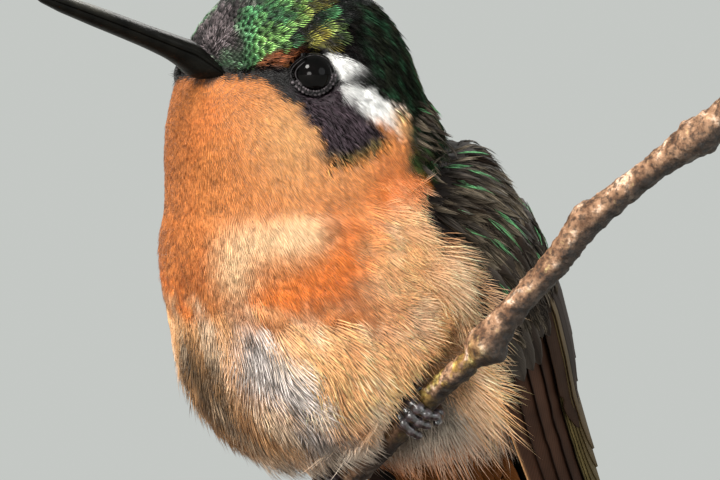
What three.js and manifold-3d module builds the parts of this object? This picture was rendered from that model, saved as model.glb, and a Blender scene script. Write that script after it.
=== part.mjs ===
// A female mountain-gem hummingbird, life size, perched on a sloping twig that a small display stand holds up.
// Millimetres, +Z up. The origin is the centre of the base's underside.
// The bird faces towards -X and -Y. Its own frame has x forward, y to its left and z up.
import * as THREE from "three";
import { mergeVertices } from "three/addons/utils/BufferGeometryUtils.js";
import Module from "manifold-3d";

const wasm = await Module();
wasm.setup();
const { Manifold, Mesh } = wasm;

const degrees = THREE.MathUtils.degToRad;
const point = (x, y, z) => new THREE.Vector3(x, y, z);
const { lerp, clamp, smoothstep } = THREE.MathUtils;

// ---- Driving dimensions ----
const GAP = 0.3; // between pieces that touch
const BODY_YAW = degrees(48); // the body's forward direction, turned from -X towards -Y
const BIRD_PLACE = point(-2, 3, 51.5); // the bird frame's origin, inside its breast, above the base's centre

const HEAD_CENTRE = point(8.6, 0, 15.3);
const HEAD_YAW = degrees(-8); // the head is turned a little to the bird's right
const BODY_SOFTNESS = 2.5; // how widely the body's rounded masses blend into each other

const BILL_LENGTH = 19.2; // from the feathers on the forehead to the tip
const BILL_PITCH = degrees(16.4);
const BILL_START = 12.4; // ahead of the head's centre
const BILL_RISE = 1.4; // above the head's centre, where the feathers end
const BILL_DEPTH = 2.45;
const BILL_WIDTH = 2.7;

const EYE_RADIUS = 2.0;
const EYE_SUNK = 1.15; // from the skin down to the eyeball's centre
const LID_RADIUS = 1.72;
const LID_THICKNESS = 0.42;

const WING_LENGTH = 58; // from the wrist to the tip of the longest primary
const WING_PITCH = degrees(54.5); // how steeply the folded wings and the body's axis fall backwards
const VANE_THICKNESS = 0.55;

const TAIL_LENGTH = 31;
const TAIL_ROOT = point(-11.5, 0, -16.5);
const TAIL_PITCH = degrees(57);
const TAIL_SPREAD = degrees(8.5);
const TAIL_PAIRS = 5;

const TOE_RADIUS = 0.42;
const TARSUS_RADIUS = 0.62;

const BASE_RADIUS = 40;
const BASE_THICKNESS = 5;
const ROD_RADIUS = 1.25;
const ROD_FOOT_RADIUS = 3.6;

// ---- Meshes and solids ----
function solidFrom(geometry) {
  const bare = geometry.clone();
  for (const name of Object.keys(bare.attributes)) if (name !== "position") bare.deleteAttribute(name);
  const merged = mergeVertices(bare, 1e-4);
  return new Manifold(
    new Mesh({
      numProp: 3,
      vertProperties: new Float32Array(merged.attributes.position.array),
      triVerts: new Uint32Array(merged.index.array),
    }),
  );
}

function geometryFrom(solid) {
  const mesh = solid.getMesh();
  const geometry = new THREE.BufferGeometry();
  geometry.setAttribute("position", new THREE.BufferAttribute(new Float32Array(mesh.vertProperties), 3));
  geometry.setIndex(new THREE.BufferAttribute(new Uint32Array(mesh.triVerts), 1));
  geometry.computeVertexNormals();
  return geometry;
}

// Joins overlapping solids into one, and keeps only the largest closed piece of the result.
function fuse(solids) {
  return largest(Manifold.union(solids));
}

function largest(solid) {
  return solid.decompose().reduce((best, piece) => (piece.volume() > best.volume() ? piece : best));
}

// Six times the volume that a closed set of triangles encloses, below zero when they face inwards.
function enclosed(vertices, faces) {
  let sum = 0;
  for (let corner = 0; corner < faces.length; corner += 3) {
    const [a, b, c] = [0, 1, 2].map((step) => vertices[faces[corner + step]]);
    sum += a.dot(b.clone().cross(c));
  }
  return sum;
}

// A closed skin over rings that all have the same number of points, with flat ends, facing outwards.
function loft(rings) {
  const sides = rings[0].length;
  const vertices = rings.flat();
  const faces = [];
  for (let ring = 0; ring < rings.length - 1; ring++) {
    for (let side = 0; side < sides; side++) {
      const next = (side + 1) % sides;
      const [a, b] = [ring * sides + side, ring * sides + next];
      faces.push(a, b, b + sides, a, b + sides, a + sides);
    }
  }
  const last = (rings.length - 1) * sides;
  for (let side = 1; side < sides - 1; side++) {
    faces.push(0, side + 1, side);
    faces.push(last, last + side, last + side + 1);
  }
  const geometry = new THREE.BufferGeometry().setFromPoints(vertices);
  geometry.setIndex(enclosed(vertices, faces) > 0 ? faces : faces.reverse());
  return geometry;
}

// A round tube along a curve, whose radius and flattening change on the way.
function tube(curve, steps, sides, radiusAt, flatAt = () => 1) {
  const frames = curve.computeFrenetFrames(steps, false);
  const rings = [];
  for (let step = 0; step <= steps; step++) {
    const along = step / steps;
    const centre = curve.getPointAt(along);
    const radius = radiusAt(along);
    rings.push(
      Array.from({ length: sides }, (_, side) => {
        const angle = (side / sides) * 2 * Math.PI;
        return centre
          .clone()
          .addScaledVector(frames.normals[step], radius * Math.cos(angle))
          .addScaledVector(frames.binormals[step], radius * flatAt(along) * Math.sin(angle));
      }),
    );
  }
  return loft(rings);
}

// A value read from a list of [place, value] pairs, with smooth steps between them.
function profile(pairs, place) {
  const next = pairs.findIndex(([at]) => at > place);
  if (next === 0) return pairs[0][1];
  if (next < 0) return pairs[pairs.length - 1][1];
  const [[from, low], [to, high]] = [pairs[next - 1], pairs[next]];
  return lerp(low, high, (place - from) / (to - from));
}

// ---- The twig ----
// Its centre line and radius, in the stand's directions but measured from the bird's origin: [x, y, z, radius].
const TWIG_ROUTE = [
  [34.0, -20.4, 12.2, 1.42],
  [30.6, -19.3, 9.3, 1.62], // leaf scar
  [26.8, -18.2, 6.7, 1.24],
  [19.9, -16.1, 0.8, 1.42], // bud
  [17.4, -15.2, -2.5, 1.28],
  [14.2, -14.2, -5.9, 1.3],
  [11.3, -13.0, -9.6, 1.5], // knot where an old side shoot broke off
  [9.4, -11.9, -11.6, 1.12],
  [7.2, -10.2, -13.4, 1.06],
  [5.3, -8.4, -15.5, 1.08],
  [2.9, -6.2, -18.0, 1.12],
  [-0.8, -2.6, -21.7, 1.18],
  [-4.9, 0.8, -25.8, 1.3],
  [-8.2, 3.2, -29.0, 1.36],
];
const TWIG_SIDES = 10;
const TWIG_STEPS = 44;

const toBird = (x, y, z) => point(x, y, z).applyAxisAngle(point(0, 0, 1), -(Math.PI + BODY_YAW));
const twigPoints = TWIG_ROUTE.map(([x, y, z]) => toBird(x, y, z));
const twigCurve = new THREE.CatmullRomCurve3(twigPoints, false, "centripetal");
const twigSpots = twigCurve.getSpacedPoints(80);

// The share of the twig's length at which it passes nearest to a point.
function nearestOnTwig(place) {
  let best = 0;
  twigSpots.forEach((spot, index) => {
    if (spot.distanceTo(place) < twigSpots[best].distanceTo(place)) best = index;
  });
  return best / (twigSpots.length - 1);
}

const twigRadii = TWIG_ROUTE.map(([, , , radius], index) => [nearestOnTwig(twigPoints[index]), radius]);
const twigRadius = (along) => profile(twigRadii, along);

function twigSolid(extra = 0) {
  return solidFrom(tube(twigCurve, TWIG_STEPS, TWIG_SIDES, (along) => twigRadius(along) + extra));
}

// How far a point is from the twig's centre line.
function twigDistance(place) {
  let least = Infinity;
  for (let index = 0; index < twigSpots.length - 1; index++) {
    const line = new THREE.Line3(twigSpots[index], twigSpots[index + 1]);
    least = Math.min(least, line.closestPointToPoint(place, true, point(0, 0, 0)).distanceTo(place));
  }
  return least;
}

// ---- The body's outer form, feathers included ----
// Rounded masses that blend together: [centre, radii forward, sideways and up, turn about z].
const MASSES = {
  cranium: [HEAD_CENTRE, point(10.0, 9.2, 9.1), HEAD_YAW],
  throat: [point(9.4, 0, 9.0), point(10.6, 10.4, 8.6), HEAD_YAW],
  breast: [point(5.2, 0, -1.0), point(14.8, 14.2, 12.5), 0],
  belly: [point(5.0, -1.2, -9.0), point(12.2, 13.0, 12.2), 0],
  mantle: [point(-2.5, 0, -1.0), point(11.0, 12.6, 10.5), 0],
  flank: [point(-3.5, 2.5, -8.5), point(9.5, 10.5, 8.5), 0],
  rump: [point(-9.5, 0, -13.5), point(7.0, 8.0, 6.8), 0],
};
const TWIG_TROUGH = 3.0; // the belly's feathers part round the twig by this much from its centre line

// Below zero inside the body, above zero outside it, and roughly a distance in millimetres near its surface.
function bodyField(place, offset = 0) {
  let sum = 0;
  for (const [centre, radii, turn] of Object.values(MASSES)) {
    const local = place.clone().sub(centre).applyAxisAngle(point(0, 0, 1), -turn);
    const size = local.clone().divide(radii).length();
    const slope = local.clone().divide(radii).divide(radii).length() + 1e-9;
    sum += Math.exp(-(size * (size - 1)) / slope / BODY_SOFTNESS);
  }
  const form = -BODY_SOFTNESS * Math.log(sum);
  const trough = place.z < 0 ? TWIG_TROUGH - twigDistance(place) : -9;
  return Math.max(form, trough) - offset;
}

// Where a ray from inside the body first leaves it.
function leaveBody(start, direction, offset = 0) {
  const STEP = 0.6;
  const at = (distance) => bodyField(start.clone().addScaledVector(direction, distance), offset);
  let far = STEP;
  while (at(far) < 0 && far < 60) far += STEP;
  let near = far - STEP;
  for (let round = 0; round < 16; round++) {
    const middle = (near + far) / 2;
    if (at(middle) < 0) near = middle;
    else far = middle;
  }
  return start.clone().addScaledVector(direction, near);
}

const SPINE_LOW = point(1.5, 0, -6.5);
const SPINE_HIGH = point(8.4, 0, 14.2);
const BODY_SIDES = 36;
const LOW_RINGS = 8;
const MIDDLE_RINGS = 9;
const HIGH_RINGS = 8;

// The whole head, neck and torso as one closed skin of rings along the spine, grown by offset.
function bodySolid(offset = 0) {
  const axis = SPINE_HIGH.clone().sub(SPINE_LOW).normalize();
  const front = point(axis.z, 0, -axis.x);
  const left = point(0, 1, 0);
  const ringAt = (share, tilt) => {
    const centre = SPINE_LOW.clone().lerp(SPINE_HIGH, share);
    return Array.from({ length: BODY_SIDES }, (_, side) => {
      const angle = (side / BODY_SIDES) * 2 * Math.PI;
      const direction = point(0, 0, 0)
        .addScaledVector(front, Math.cos(angle) * Math.cos(tilt))
        .addScaledVector(left, Math.sin(angle) * Math.cos(tilt))
        .addScaledVector(axis, Math.sin(tilt));
      return leaveBody(centre, direction.normalize(), offset);
    });
  };
  const rings = [];
  const POLE_TILT = degrees(86);
  for (let ring = 0; ring < LOW_RINGS; ring++) rings.push(ringAt(0, -POLE_TILT * (1 - ring / LOW_RINGS)));
  for (let ring = 0; ring <= MIDDLE_RINGS; ring++) rings.push(ringAt(ring / MIDDLE_RINGS, 0));
  for (let ring = 1; ring <= HIGH_RINGS; ring++) rings.push(ringAt(1, (POLE_TILT * ring) / HIGH_RINGS));
  return solidFrom(loft(rings));
}

// A thin cut straight through the body, GAP wide.
function partingCut(place, lean) {
  const slab = new THREE.BoxGeometry(70, 70, GAP);
  slab.rotateY(lean);
  slab.translate(place.x, place.y, place.z);
  return solidFrom(slab);
}

// ---- The head's own frame ----
const headTurn = new THREE.Matrix4().makeRotationZ(HEAD_YAW).setPosition(HEAD_CENTRE);
const inHead = (x, y, z) => point(x, y, z).applyMatrix4(headTurn);

// ---- Eyes ----
const EYE_DIRECTION = point(5.0, 8.2, -0.25);
function eyePlace(side) {
  const outward = point(EYE_DIRECTION.x, EYE_DIRECTION.y * side, EYE_DIRECTION.z).normalize();
  const direction = outward.transformDirection(headTurn);
  const skin = leaveBody(HEAD_CENTRE, direction);
  return { direction, skin, centre: skin.clone().addScaledVector(direction, -EYE_SUNK) };
}

function ball(radius, centre) {
  const sphere = new THREE.SphereGeometry(radius, 16, 10);
  sphere.translate(centre.x, centre.y, centre.z);
  return solidFrom(sphere);
}

// The ring of the lids round the eye's opening.
function lids(side) {
  const { direction, centre } = eyePlace(side);
  const ring = new THREE.TorusGeometry(LID_RADIUS, LID_THICKNESS, 6, 20);
  ring.applyQuaternion(new THREE.Quaternion().setFromUnitVectors(point(0, 0, 1), direction));
  const rim = centre.clone().addScaledVector(direction, EYE_SUNK - 0.05);
  ring.translate(rim.x, rim.y, rim.z);
  return solidFrom(ring);
}

// ---- Bill ----
const BILL_DEPTHS = [
  [-0.3, 1.12],
  [0, 1],
  [0.3, 0.8],
  [0.62, 0.72],
  [0.82, 0.6],
  [0.94, 0.4],
  [1, 0.12],
];
const BILL_BURIED = 4; // how far its root would reach into the head
const BILL_SIDES = 12;

const billBase = inHead(BILL_START, 0, BILL_RISE);
const billAxis = point(Math.cos(BILL_PITCH), 0, Math.sin(BILL_PITCH)).transformDirection(headTurn);
const billSide = point(0, 1, 0).transformDirection(headTurn);
const billUp = billAxis.clone().cross(billSide);

// A point on the bill: along from the feathers, to the side and up, with a slight droop towards the tip.
function onBill(along, side, up) {
  const DROOP = 0.45;
  const share = Math.max(0, along / BILL_LENGTH);
  return billBase
    .clone()
    .addScaledVector(billAxis, along)
    .addScaledVector(billSide, side)
    .addScaledVector(billUp, up - DROOP * share ** 2 + DROOP * share);
}

function billSolid() {
  const STATIONS = [-BILL_BURIED, -1.5, 0, 3, 7, 11, 14.5, 16.8, 18.3, BILL_LENGTH];
  const rings = STATIONS.map((along) => {
    const size = profile(BILL_DEPTHS, along / BILL_LENGTH);
    return Array.from({ length: BILL_SIDES }, (_, index) => {
      const angle = (index / BILL_SIDES) * 2 * Math.PI;
      return onBill(along, (BILL_WIDTH / 2) * size * Math.cos(angle), (BILL_DEPTH / 2) * size * Math.sin(angle));
    });
  });
  return solidFrom(loft(rings));
}

// The slit of the mouth, a thin blade along the bill a little below its middle.
function mouthSlit() {
  const BLADE_HALF = 3;
  const LOW = -0.16;
  const STATIONS = [-BILL_BURIED - 1, 0, 6, 12, 17, BILL_LENGTH + 1];
  const rings = STATIONS.map((along) => {
    const middle = LOW * profile(BILL_DEPTHS, along / BILL_LENGTH);
    return [
      onBill(along, -BLADE_HALF, middle - GAP / 2),
      onBill(along, BLADE_HALF, middle - GAP / 2),
      onBill(along, BLADE_HALF, middle + GAP / 2),
      onBill(along, -BLADE_HALF, middle + GAP / 2),
    ];
  });
  return solidFrom(loft(rings));
}

// The long slit of a nostril, on the side of the upper bill.
function nostril(side) {
  const slit = new THREE.SphereGeometry(1, 10, 6);
  slit.scale(1.1, 0.3, 0.22);
  slit.rotateY(-BILL_PITCH);
  slit.rotateZ(HEAD_YAW);
  const place = onBill(2.4, (BILL_WIDTH / 2) * 0.82 * side, 0.42);
  slit.translate(place.x, place.y, place.z);
  return solidFrom(slit);
}

// ---- Feathers as thin vanes ----
// place(along, across, lift) gives a point of the surface that the vane lies on.
// The vane runs from root to tip, each [along, across], and its side towards higher across is lifted by tilt.
const VANE_SHAPE = [
  [0, 0.6],
  [0.5, 1],
  [0.84, 0.84],
  [1, 0.16],
];
const PRIMARY_SHAPE = [
  [0, 0.6],
  [0.3, 0.95],
  [0.6, 1],
  [0.84, 0.78],
  [1, 0.16],
];
const COVERT_SHAPE = [
  [0, 0.7],
  [0.6, 1],
  [0.88, 0.72],
  [1, 0.22],
];
const RECTRIX_SHAPE = [
  [0, 0.5],
  [0.5, 0.86],
  [0.88, 0.95],
  [1, 0.2],
];
function vane(place, { root, tip, width, lift, tilt, stations = VANE_SHAPE }) {
  return stations.map(([share, breadth]) => {
    const along = lerp(root[0], tip[0], share);
    const across = lerp(root[1], tip[1], share);
    const half = (width * breadth) / 2;
    const low = lift - (tilt * breadth) / 2;
    const high = lift + (tilt * breadth) / 2;
    return [
      place(along, across, low, -half),
      place(along, across, high, half),
      place(along, across, high + VANE_THICKNESS, half),
      place(along, across, low + VANE_THICKNESS, -half),
    ];
  });
}

// ---- Wings ----
// The folded wings lie on a round form about the body's axis: s runs down it from the breast, and the angle goes
// round it from the belly's side to the back.
const WING_ORIGIN = point(-0.45, 0, 0);
const wingAxis = point(-Math.cos(WING_PITCH), 0, -Math.sin(WING_PITCH));
const wingFront = point(Math.sin(WING_PITCH), 0, -Math.cos(WING_PITCH));
const WRIST = -9; // where the wrist is along the axis
const WING_GIRTHS = [
  [-11, 8.4],
  [-6, 10.1],
  [-1, 11.9],
  [3.5, 12.5],
  [9, 12.4],
  [13, 12.1],
  [17, 11.4],
  [21, 10.5],
  [26, 9.8],
  [31, 9.2],
  [50, 7.3],
];

function besideBody(side) {
  return (s, angleDegrees, lift, shift = 0) => {
    const girth = profile(WING_GIRTHS, s);
    const radius = girth + lift;
    const angle = degrees(angleDegrees) + shift / girth;
    return WING_ORIGIN.clone()
      .addScaledVector(wingAxis, s)
      .addScaledVector(wingFront, radius * Math.cos(angle))
      .add(point(0, side * radius * Math.sin(angle), 0));
  };
}

function wingSolid(side) {
  const place = besideBody(side);
  const vanes = [];
  const add = (options) => vanes.push(solidFrom(loft(vane(place, options))));
  const PRIMARIES = 10;
  for (let index = 0; index < PRIMARIES; index++) {
    const inward = index / (PRIMARIES - 1);
    add({
      root: [WRIST + 8 + 4 * inward, 84 + 32 * inward],
      tip: [WRIST + WING_LENGTH - 3 * index + 0.6 * inward * index, 88 + 22 * inward],
      width: index === 0 ? 3.6 : 3.0,
      lift: 0.2 + 0.12 * index,
      tilt: 0.3,
      stations: PRIMARY_SHAPE,
    });
  }
  const SECONDARIES = 6;
  for (let index = 0; index < SECONDARIES; index++) {
    const inward = index / (SECONDARIES - 1);
    add({
      root: [2 + 1.5 * inward, 116 + 26 * inward],
      tip: [23 - 8 * inward, 112 + 28 * inward],
      width: 3.2,
      lift: 1.15 + 0.09 * index,
      tilt: 0.3,
    });
  }
  const GREATER_COVERTS = 8;
  for (let index = 0; index < GREATER_COVERTS; index++) {
    const inward = index / (GREATER_COVERTS - 1);
    add({
      root: [-3, 84 + 58 * inward],
      tip: [13.5 - 3.5 * inward, 84 + 60 * inward],
      width: 3.4,
      lift: 0.7 + 1.05 * inward,
      tilt: 0.25,
      stations: COVERT_SHAPE,
    });
  }
  const MEDIAN_COVERTS = 6;
  for (let index = 0; index < MEDIAN_COVERTS; index++) {
    const inward = index / (MEDIAN_COVERTS - 1);
    add({
      root: [-5, 86 + 54 * inward],
      tip: [5 - 1.5 * inward, 86 + 56 * inward],
      width: 3.8,
      lift: 1.2 + 0.85 * inward,
      tilt: 0.25,
      stations: COVERT_SHAPE,
    });
  }
  return fuse([shoulderPad(side), ...vanes]);
}

// The feathered arm that carries the wing's feathers: a rounded pad on the cone.
function shoulderPad(side) {
  const place = besideBody(side);
  const PAD = { from: -6.5, to: 8, low: 80, high: 146, thickness: 1.9 };
  const ROWS = 6;
  const COLUMNS = 7;
  const rings = [];
  for (let row = 0; row <= ROWS; row++) {
    const along = row / ROWS;
    const swell = Math.sqrt(1 - (2 * along - 1) ** 2 * 0.96);
    const middle = (PAD.low + PAD.high) / 2;
    const half = ((PAD.high - PAD.low) / 2) * swell;
    const s = lerp(PAD.from, PAD.to, along);
    const under = [];
    const over = [];
    for (let column = 0; column <= COLUMNS; column++) {
      const across = (2 * column) / COLUMNS - 1;
      const edge = Math.sqrt(1 - across ** 2 * 0.97);
      under.push(place(s, middle + half * across, 0.15));
      over.unshift(place(s, middle + half * across, 0.45 + PAD.thickness * swell * edge));
    }
    rings.push([...under, ...over]);
  }
  return solidFrom(loft(rings));
}

// The room that a folded wing takes in the body's side.
function wingSeat(side) {
  const place = besideBody(side);
  const SEAT = { from: -7.6, to: 44, low: 70, high: 156, height: 8 };
  const SEAT_DEPTH = GAP + 0.3; // the vanes are flat between their stations, so they sit a little under the curve
  const ROWS = 12;
  const COLUMNS = 14;
  const rings = [];
  for (let row = 0; row <= ROWS; row++) {
    const s = lerp(SEAT.from, SEAT.to, row / ROWS);
    const under = [];
    const over = [];
    for (let column = 0; column <= COLUMNS; column++) {
      const angle = lerp(SEAT.low, SEAT.high, column / COLUMNS);
      under.push(place(s, angle, -SEAT_DEPTH));
      over.unshift(place(s, angle, SEAT.height));
    }
    rings.push([...under, ...over]);
  }
  return solidFrom(loft(rings));
}

// ---- Tail ----
const tailAxis = point(-Math.cos(TAIL_PITCH), 0, -Math.sin(TAIL_PITCH));
const tailBack = point(-Math.sin(TAIL_PITCH), 0, Math.cos(TAIL_PITCH)); // out of the tail's upper side

// A point of the tail's fan: along from its root, turned to the side by an angle in degrees, and raised.
function onTail(along, spreadDegrees, lift, shift = 0) {
  const spread = degrees(spreadDegrees);
  const direction = tailAxis
    .clone()
    .multiplyScalar(Math.cos(spread))
    .add(point(0, Math.sin(spread), 0));
  const across = point(0, Math.cos(spread), 0).addScaledVector(tailAxis, -Math.sin(spread));
  return TAIL_ROOT.clone()
    .addScaledVector(direction, along)
    .addScaledVector(across, shift)
    .addScaledVector(tailBack, lift);
}

function tailSolid() {
  const RECTRIX_WIDTH = 4.6;
  const STEP = 0.34; // each pair lies this much under the one nearer the middle
  const parts = [];
  for (let pair = 0; pair < TAIL_PAIRS; pair++) {
    for (const side of [1, -1]) {
      const outward = (side * (pair + 0.35)) / (TAIL_PAIRS - 0.65);
      const degreesOut = THREE.MathUtils.radToDeg(TAIL_SPREAD) * outward;
      const rings = vane(onTail, {
        root: [0, degreesOut],
        tip: [TAIL_LENGTH + 1.2 * Math.abs(outward), degreesOut],
        width: RECTRIX_WIDTH,
        lift: -STEP * pair + (side > 0 ? 0.1 : 0),
        tilt: -0.25 * side,
        stations: RECTRIX_SHAPE,
      });
      parts.push(solidFrom(loft(rings)));
    }
  }
  for (const face of [1, -1]) {
    const COVERTS = 5;
    for (let index = 0; index < COVERTS; index++) {
      const outward = (2 * index) / (COVERTS - 1) - 1;
      const rings = vane(onTail, {
        root: [0, 14 * outward],
        tip: [face > 0 ? 11 : 14 - 2 * Math.abs(outward), 9 * outward],
        width: 4.6,
        lift: face > 0 ? 0.5 + 0.15 * index : -2.2 + 0.15 * index,
        tilt: 0.2,
        stations: COVERT_SHAPE,
      });
      parts.push(solidFrom(loft(rings)));
    }
  }
  const ROOT_STRETCH = point(5.5, 3.4, 1.9);
  const root = new THREE.SphereGeometry(1, 16, 10);
  root.scale(ROOT_STRETCH.x, ROOT_STRETCH.y, ROOT_STRETCH.z);
  root.rotateY(-TAIL_PITCH);
  const middle = onTail(2, 0, -0.6);
  root.translate(middle.x, middle.y, middle.z);
  parts.push(solidFrom(root));
  return fuse(parts);
}

// ---- Feet ----
// Each foot grips the twig at a share of the twig's length. The toes go over its top and curl under it.
function footSolid(side, along) {
  const centre = twigCurve.getPointAt(along);
  const twigWay = twigCurve.getTangentAt(along).multiplyScalar(-1); // down the slope, to the bird's right
  const up = point(0, 0, 1).addScaledVector(twigWay, -twigWay.z).normalize();
  const forward = up.clone().cross(twigWay);
  if (forward.x < 0) forward.negate();
  const gripRadius = twigRadius(along) + GAP + TOE_RADIUS + 0.12;

  // A point beside the twig: turn goes from its top forwards and under, slide goes along the twig.
  const beside = (turnDegrees, slide, out = 0) => {
    const turn = degrees(turnDegrees);
    return centre
      .clone()
      .addScaledVector(twigWay, slide)
      .addScaledVector(up, (gripRadius + out) * Math.cos(turn))
      .addScaledVector(forward, (gripRadius + out) * Math.sin(turn));
  };
  const KNUCKLES = 3;
  const toeRadius = (share) => {
    if (share > 0.74) return lerp(TOE_RADIUS * 0.72, 0.09, (share - 0.74) / 0.26); // the claw
    const bulge = 0.12 * Math.abs(Math.sin(share * KNUCKLES * Math.PI * 1.33));
    return TOE_RADIUS * (1.08 - 0.2 * share) * (0.92 + bulge);
  };
  const toe = (turns, slides) => {
    const route = turns.map((turn, index) => {
      const share = index / (turns.length - 1);
      return beside(turn, slides[0] + (slides[1] - slides[0]) * share, share > 0.8 ? 0.12 : 0);
    });
    return solidFrom(tube(new THREE.CatmullRomCurve3(route), 13, 6, toeRadius));
  };
  const front = [-38, 0, 38, 76, 112, 148, 176];
  const back = [-20, -55, -90, -125, -158];
  const ankle = beside(-42, 0, 0.35);
  const body = point(1.0, side * 2.2, -12.0);
  const shin = body.clone().sub(ankle).normalize();
  const tarsus = new THREE.CatmullRomCurve3([
    beside(-22, 0, 0.05),
    ankle,
    ankle.clone().addScaledVector(shin, 2.2),
    ankle.clone().addScaledVector(shin, 5.5),
  ]);
  return fuse([
    toe(front, [0.35, 1.5]),
    toe(front, [0, 0.1]),
    toe(front, [-0.35, -1.4]),
    toe(back, [0, 0.25]),
    solidFrom(tube(tarsus, 6, 8, (share) => TARSUS_RADIUS * (0.95 + 0.35 * share))),
  ]);
}

// ---- Display stand ----
function baseSolid() {
  const BEVEL = 0.8;
  const outline = [
    [0, 0],
    [BASE_RADIUS - BEVEL, 0],
    [BASE_RADIUS, BEVEL],
    [BASE_RADIUS, BASE_THICKNESS - 2 * BEVEL],
    [BASE_RADIUS - BEVEL * 0.6, BASE_THICKNESS - BEVEL * 0.6],
    [BASE_RADIUS - 2 * BEVEL, BASE_THICKNESS],
    [0, BASE_THICKNESS],
  ].map(([radius, height]) => new THREE.Vector2(radius, height));
  const disc = new THREE.LatheGeometry(outline, 48);
  disc.rotateX(Math.PI / 2);
  return solidFrom(disc);
}

// An upright rod with a spread foot, from just above the base into the twig's underside.
function rodSolid(place, top) {
  const FOOT_HEIGHT = 1.2;
  const bottom = BASE_THICKNESS + GAP;
  const outline = [
    [0, bottom],
    [ROD_FOOT_RADIUS, bottom],
    [ROD_FOOT_RADIUS, bottom + FOOT_HEIGHT * 0.6],
    [ROD_RADIUS + 0.5, bottom + FOOT_HEIGHT],
    [ROD_RADIUS, bottom + FOOT_HEIGHT * 1.8],
    [ROD_RADIUS, top],
    [0, top],
  ].map(([radius, height]) => new THREE.Vector2(radius, height));
  const rod = new THREE.LatheGeometry(outline, 20);
  rod.rotateX(Math.PI / 2);
  rod.translate(place.x, place.y, 0);
  return solidFrom(rod);
}

// ---- Materials ----
const finish = (color, roughness = 0.8, metalness = 0) =>
  new THREE.MeshStandardMaterial({ color, roughness, metalness });
const FINISHES = {
  crown: finish(0x2f5a34, 0.5),
  throat: finish(0xd8813f, 0.9),
  breast: finish(0xc9915f, 0.95),
  wing: finish(0x3a3530, 0.7),
  tail: finish(0x332e2a, 0.7),
  bill: finish(0x17151a, 0.35),
  eye: finish(0x0c0a09, 0.08),
  foot: finish(0x4c4450, 0.45),
  bark: finish(0x6b4f45, 0.9),
  wood: finish(0x3b2a20, 0.45),
  brass: finish(0xb08d57, 0.3, 1),
};

// ---- Assembly ----
const displayed = new THREE.Group();
const bird = new THREE.Group();
bird.rotation.z = Math.PI + BODY_YAW;
bird.position.copy(BIRD_PLACE);
bird.updateMatrix();
displayed.add(bird);

function addNode(group, name, solid, material) {
  const mesh = new THREE.Mesh(geometryFrom(solid), material);
  mesh.name = name;
  group.add(mesh);
}

const SIDES = [
  ["left", 1],
  ["right", -1],
];
const FOOT_GRIPS = { left: nearestOnTwig(toBird(5.3, -8.4, -15.5)), right: nearestOnTwig(toBird(-1.6, -1.9, -22.5)) };

const twig = twigSolid();
const twigRoom = twigSolid(GAP);
const bodyRoom = bodySolid(GAP);
const feet = SIDES.map(([name, side]) => footSolid(side, FOOT_GRIPS[name]).subtract(bodyRoom));

// Head, neck and torso are one form, parted by two thin cuts.
const NECK_TOP = point(8.4, 0, 9.6);
const NECK_FOOT = point(5, 0, 4.2);
let whole = bodySolid();
for (const [, side] of SIDES) whole = whole.add(lids(side));
for (const [, side] of SIDES) {
  whole = whole.subtract(ball(EYE_RADIUS + GAP, eyePlace(side).centre));
  whole = whole.subtract(wingSeat(side));
}
whole = whole.subtract(partingCut(NECK_TOP, degrees(12)));
whole = whole.subtract(partingCut(NECK_FOOT, degrees(30)));
const heightOf = (solid) => (solid.boundingBox().min[2] + solid.boundingBox().max[2]) / 2;
const [torso, neck, head] = whole
  .decompose()
  .sort((a, b) => b.volume() - a.volume())
  .slice(0, 3)
  .sort((a, b) => heightOf(a) - heightOf(b));
addNode(bird, "head", head, FINISHES.crown);
addNode(bird, "neck", neck, FINISHES.throat);
addNode(bird, "torso", torso, FINISHES.breast);

const [billLower, billUpper] = billSolid()
  .subtract(mouthSlit())
  .subtract(bodyRoom)
  .decompose()
  .sort((a, b) => b.volume() - a.volume())
  .slice(0, 2)
  .sort((a, b) => heightOf(a) - heightOf(b));
addNode(bird, "bill_upper", billUpper.subtract(nostril(1)).subtract(nostril(-1)), FINISHES.bill);
addNode(bird, "bill_lower", billLower, FINISHES.bill);

const tailRoom = bodyRoom;
addNode(bird, "tail", largest(tailSolid().subtract(tailRoom)), FINISHES.tail);

SIDES.forEach(([name, side], index) => {
  addNode(bird, `eye_${name}`, ball(EYE_RADIUS, eyePlace(side).centre), FINISHES.eye);
  addNode(bird, `wing_${name}`, wingSolid(side), FINISHES.wing);
  addNode(bird, `foot_${name}`, largest(feet[index]), FINISHES.foot);
});
addNode(bird, "twig", twig, FINISHES.bark);

const ROD_SHARE = 0.95; // how far down the twig the rod meets it
const rodPlace = twigCurve.getPointAt(ROD_SHARE).applyMatrix4(bird.matrix);
const rod = rodSolid(rodPlace, rodPlace.z).subtract(twigRoom.transform(bird.matrix.elements));
addNode(displayed, "stand_base", baseSolid(), FINISHES.wood);
addNode(displayed, "stand_rod", largest(rod), FINISHES.brass);

export default displayed;
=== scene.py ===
"""The looks of a female mountain-gem hummingbird, perched on a sloping twig that a display stand holds."""
import math

import bmesh
import bpy
import numpy as np
from mathutils import Matrix, Vector
from mathutils.bvhtree import BVHTree
from mathutils.kdtree import KDTree


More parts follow.
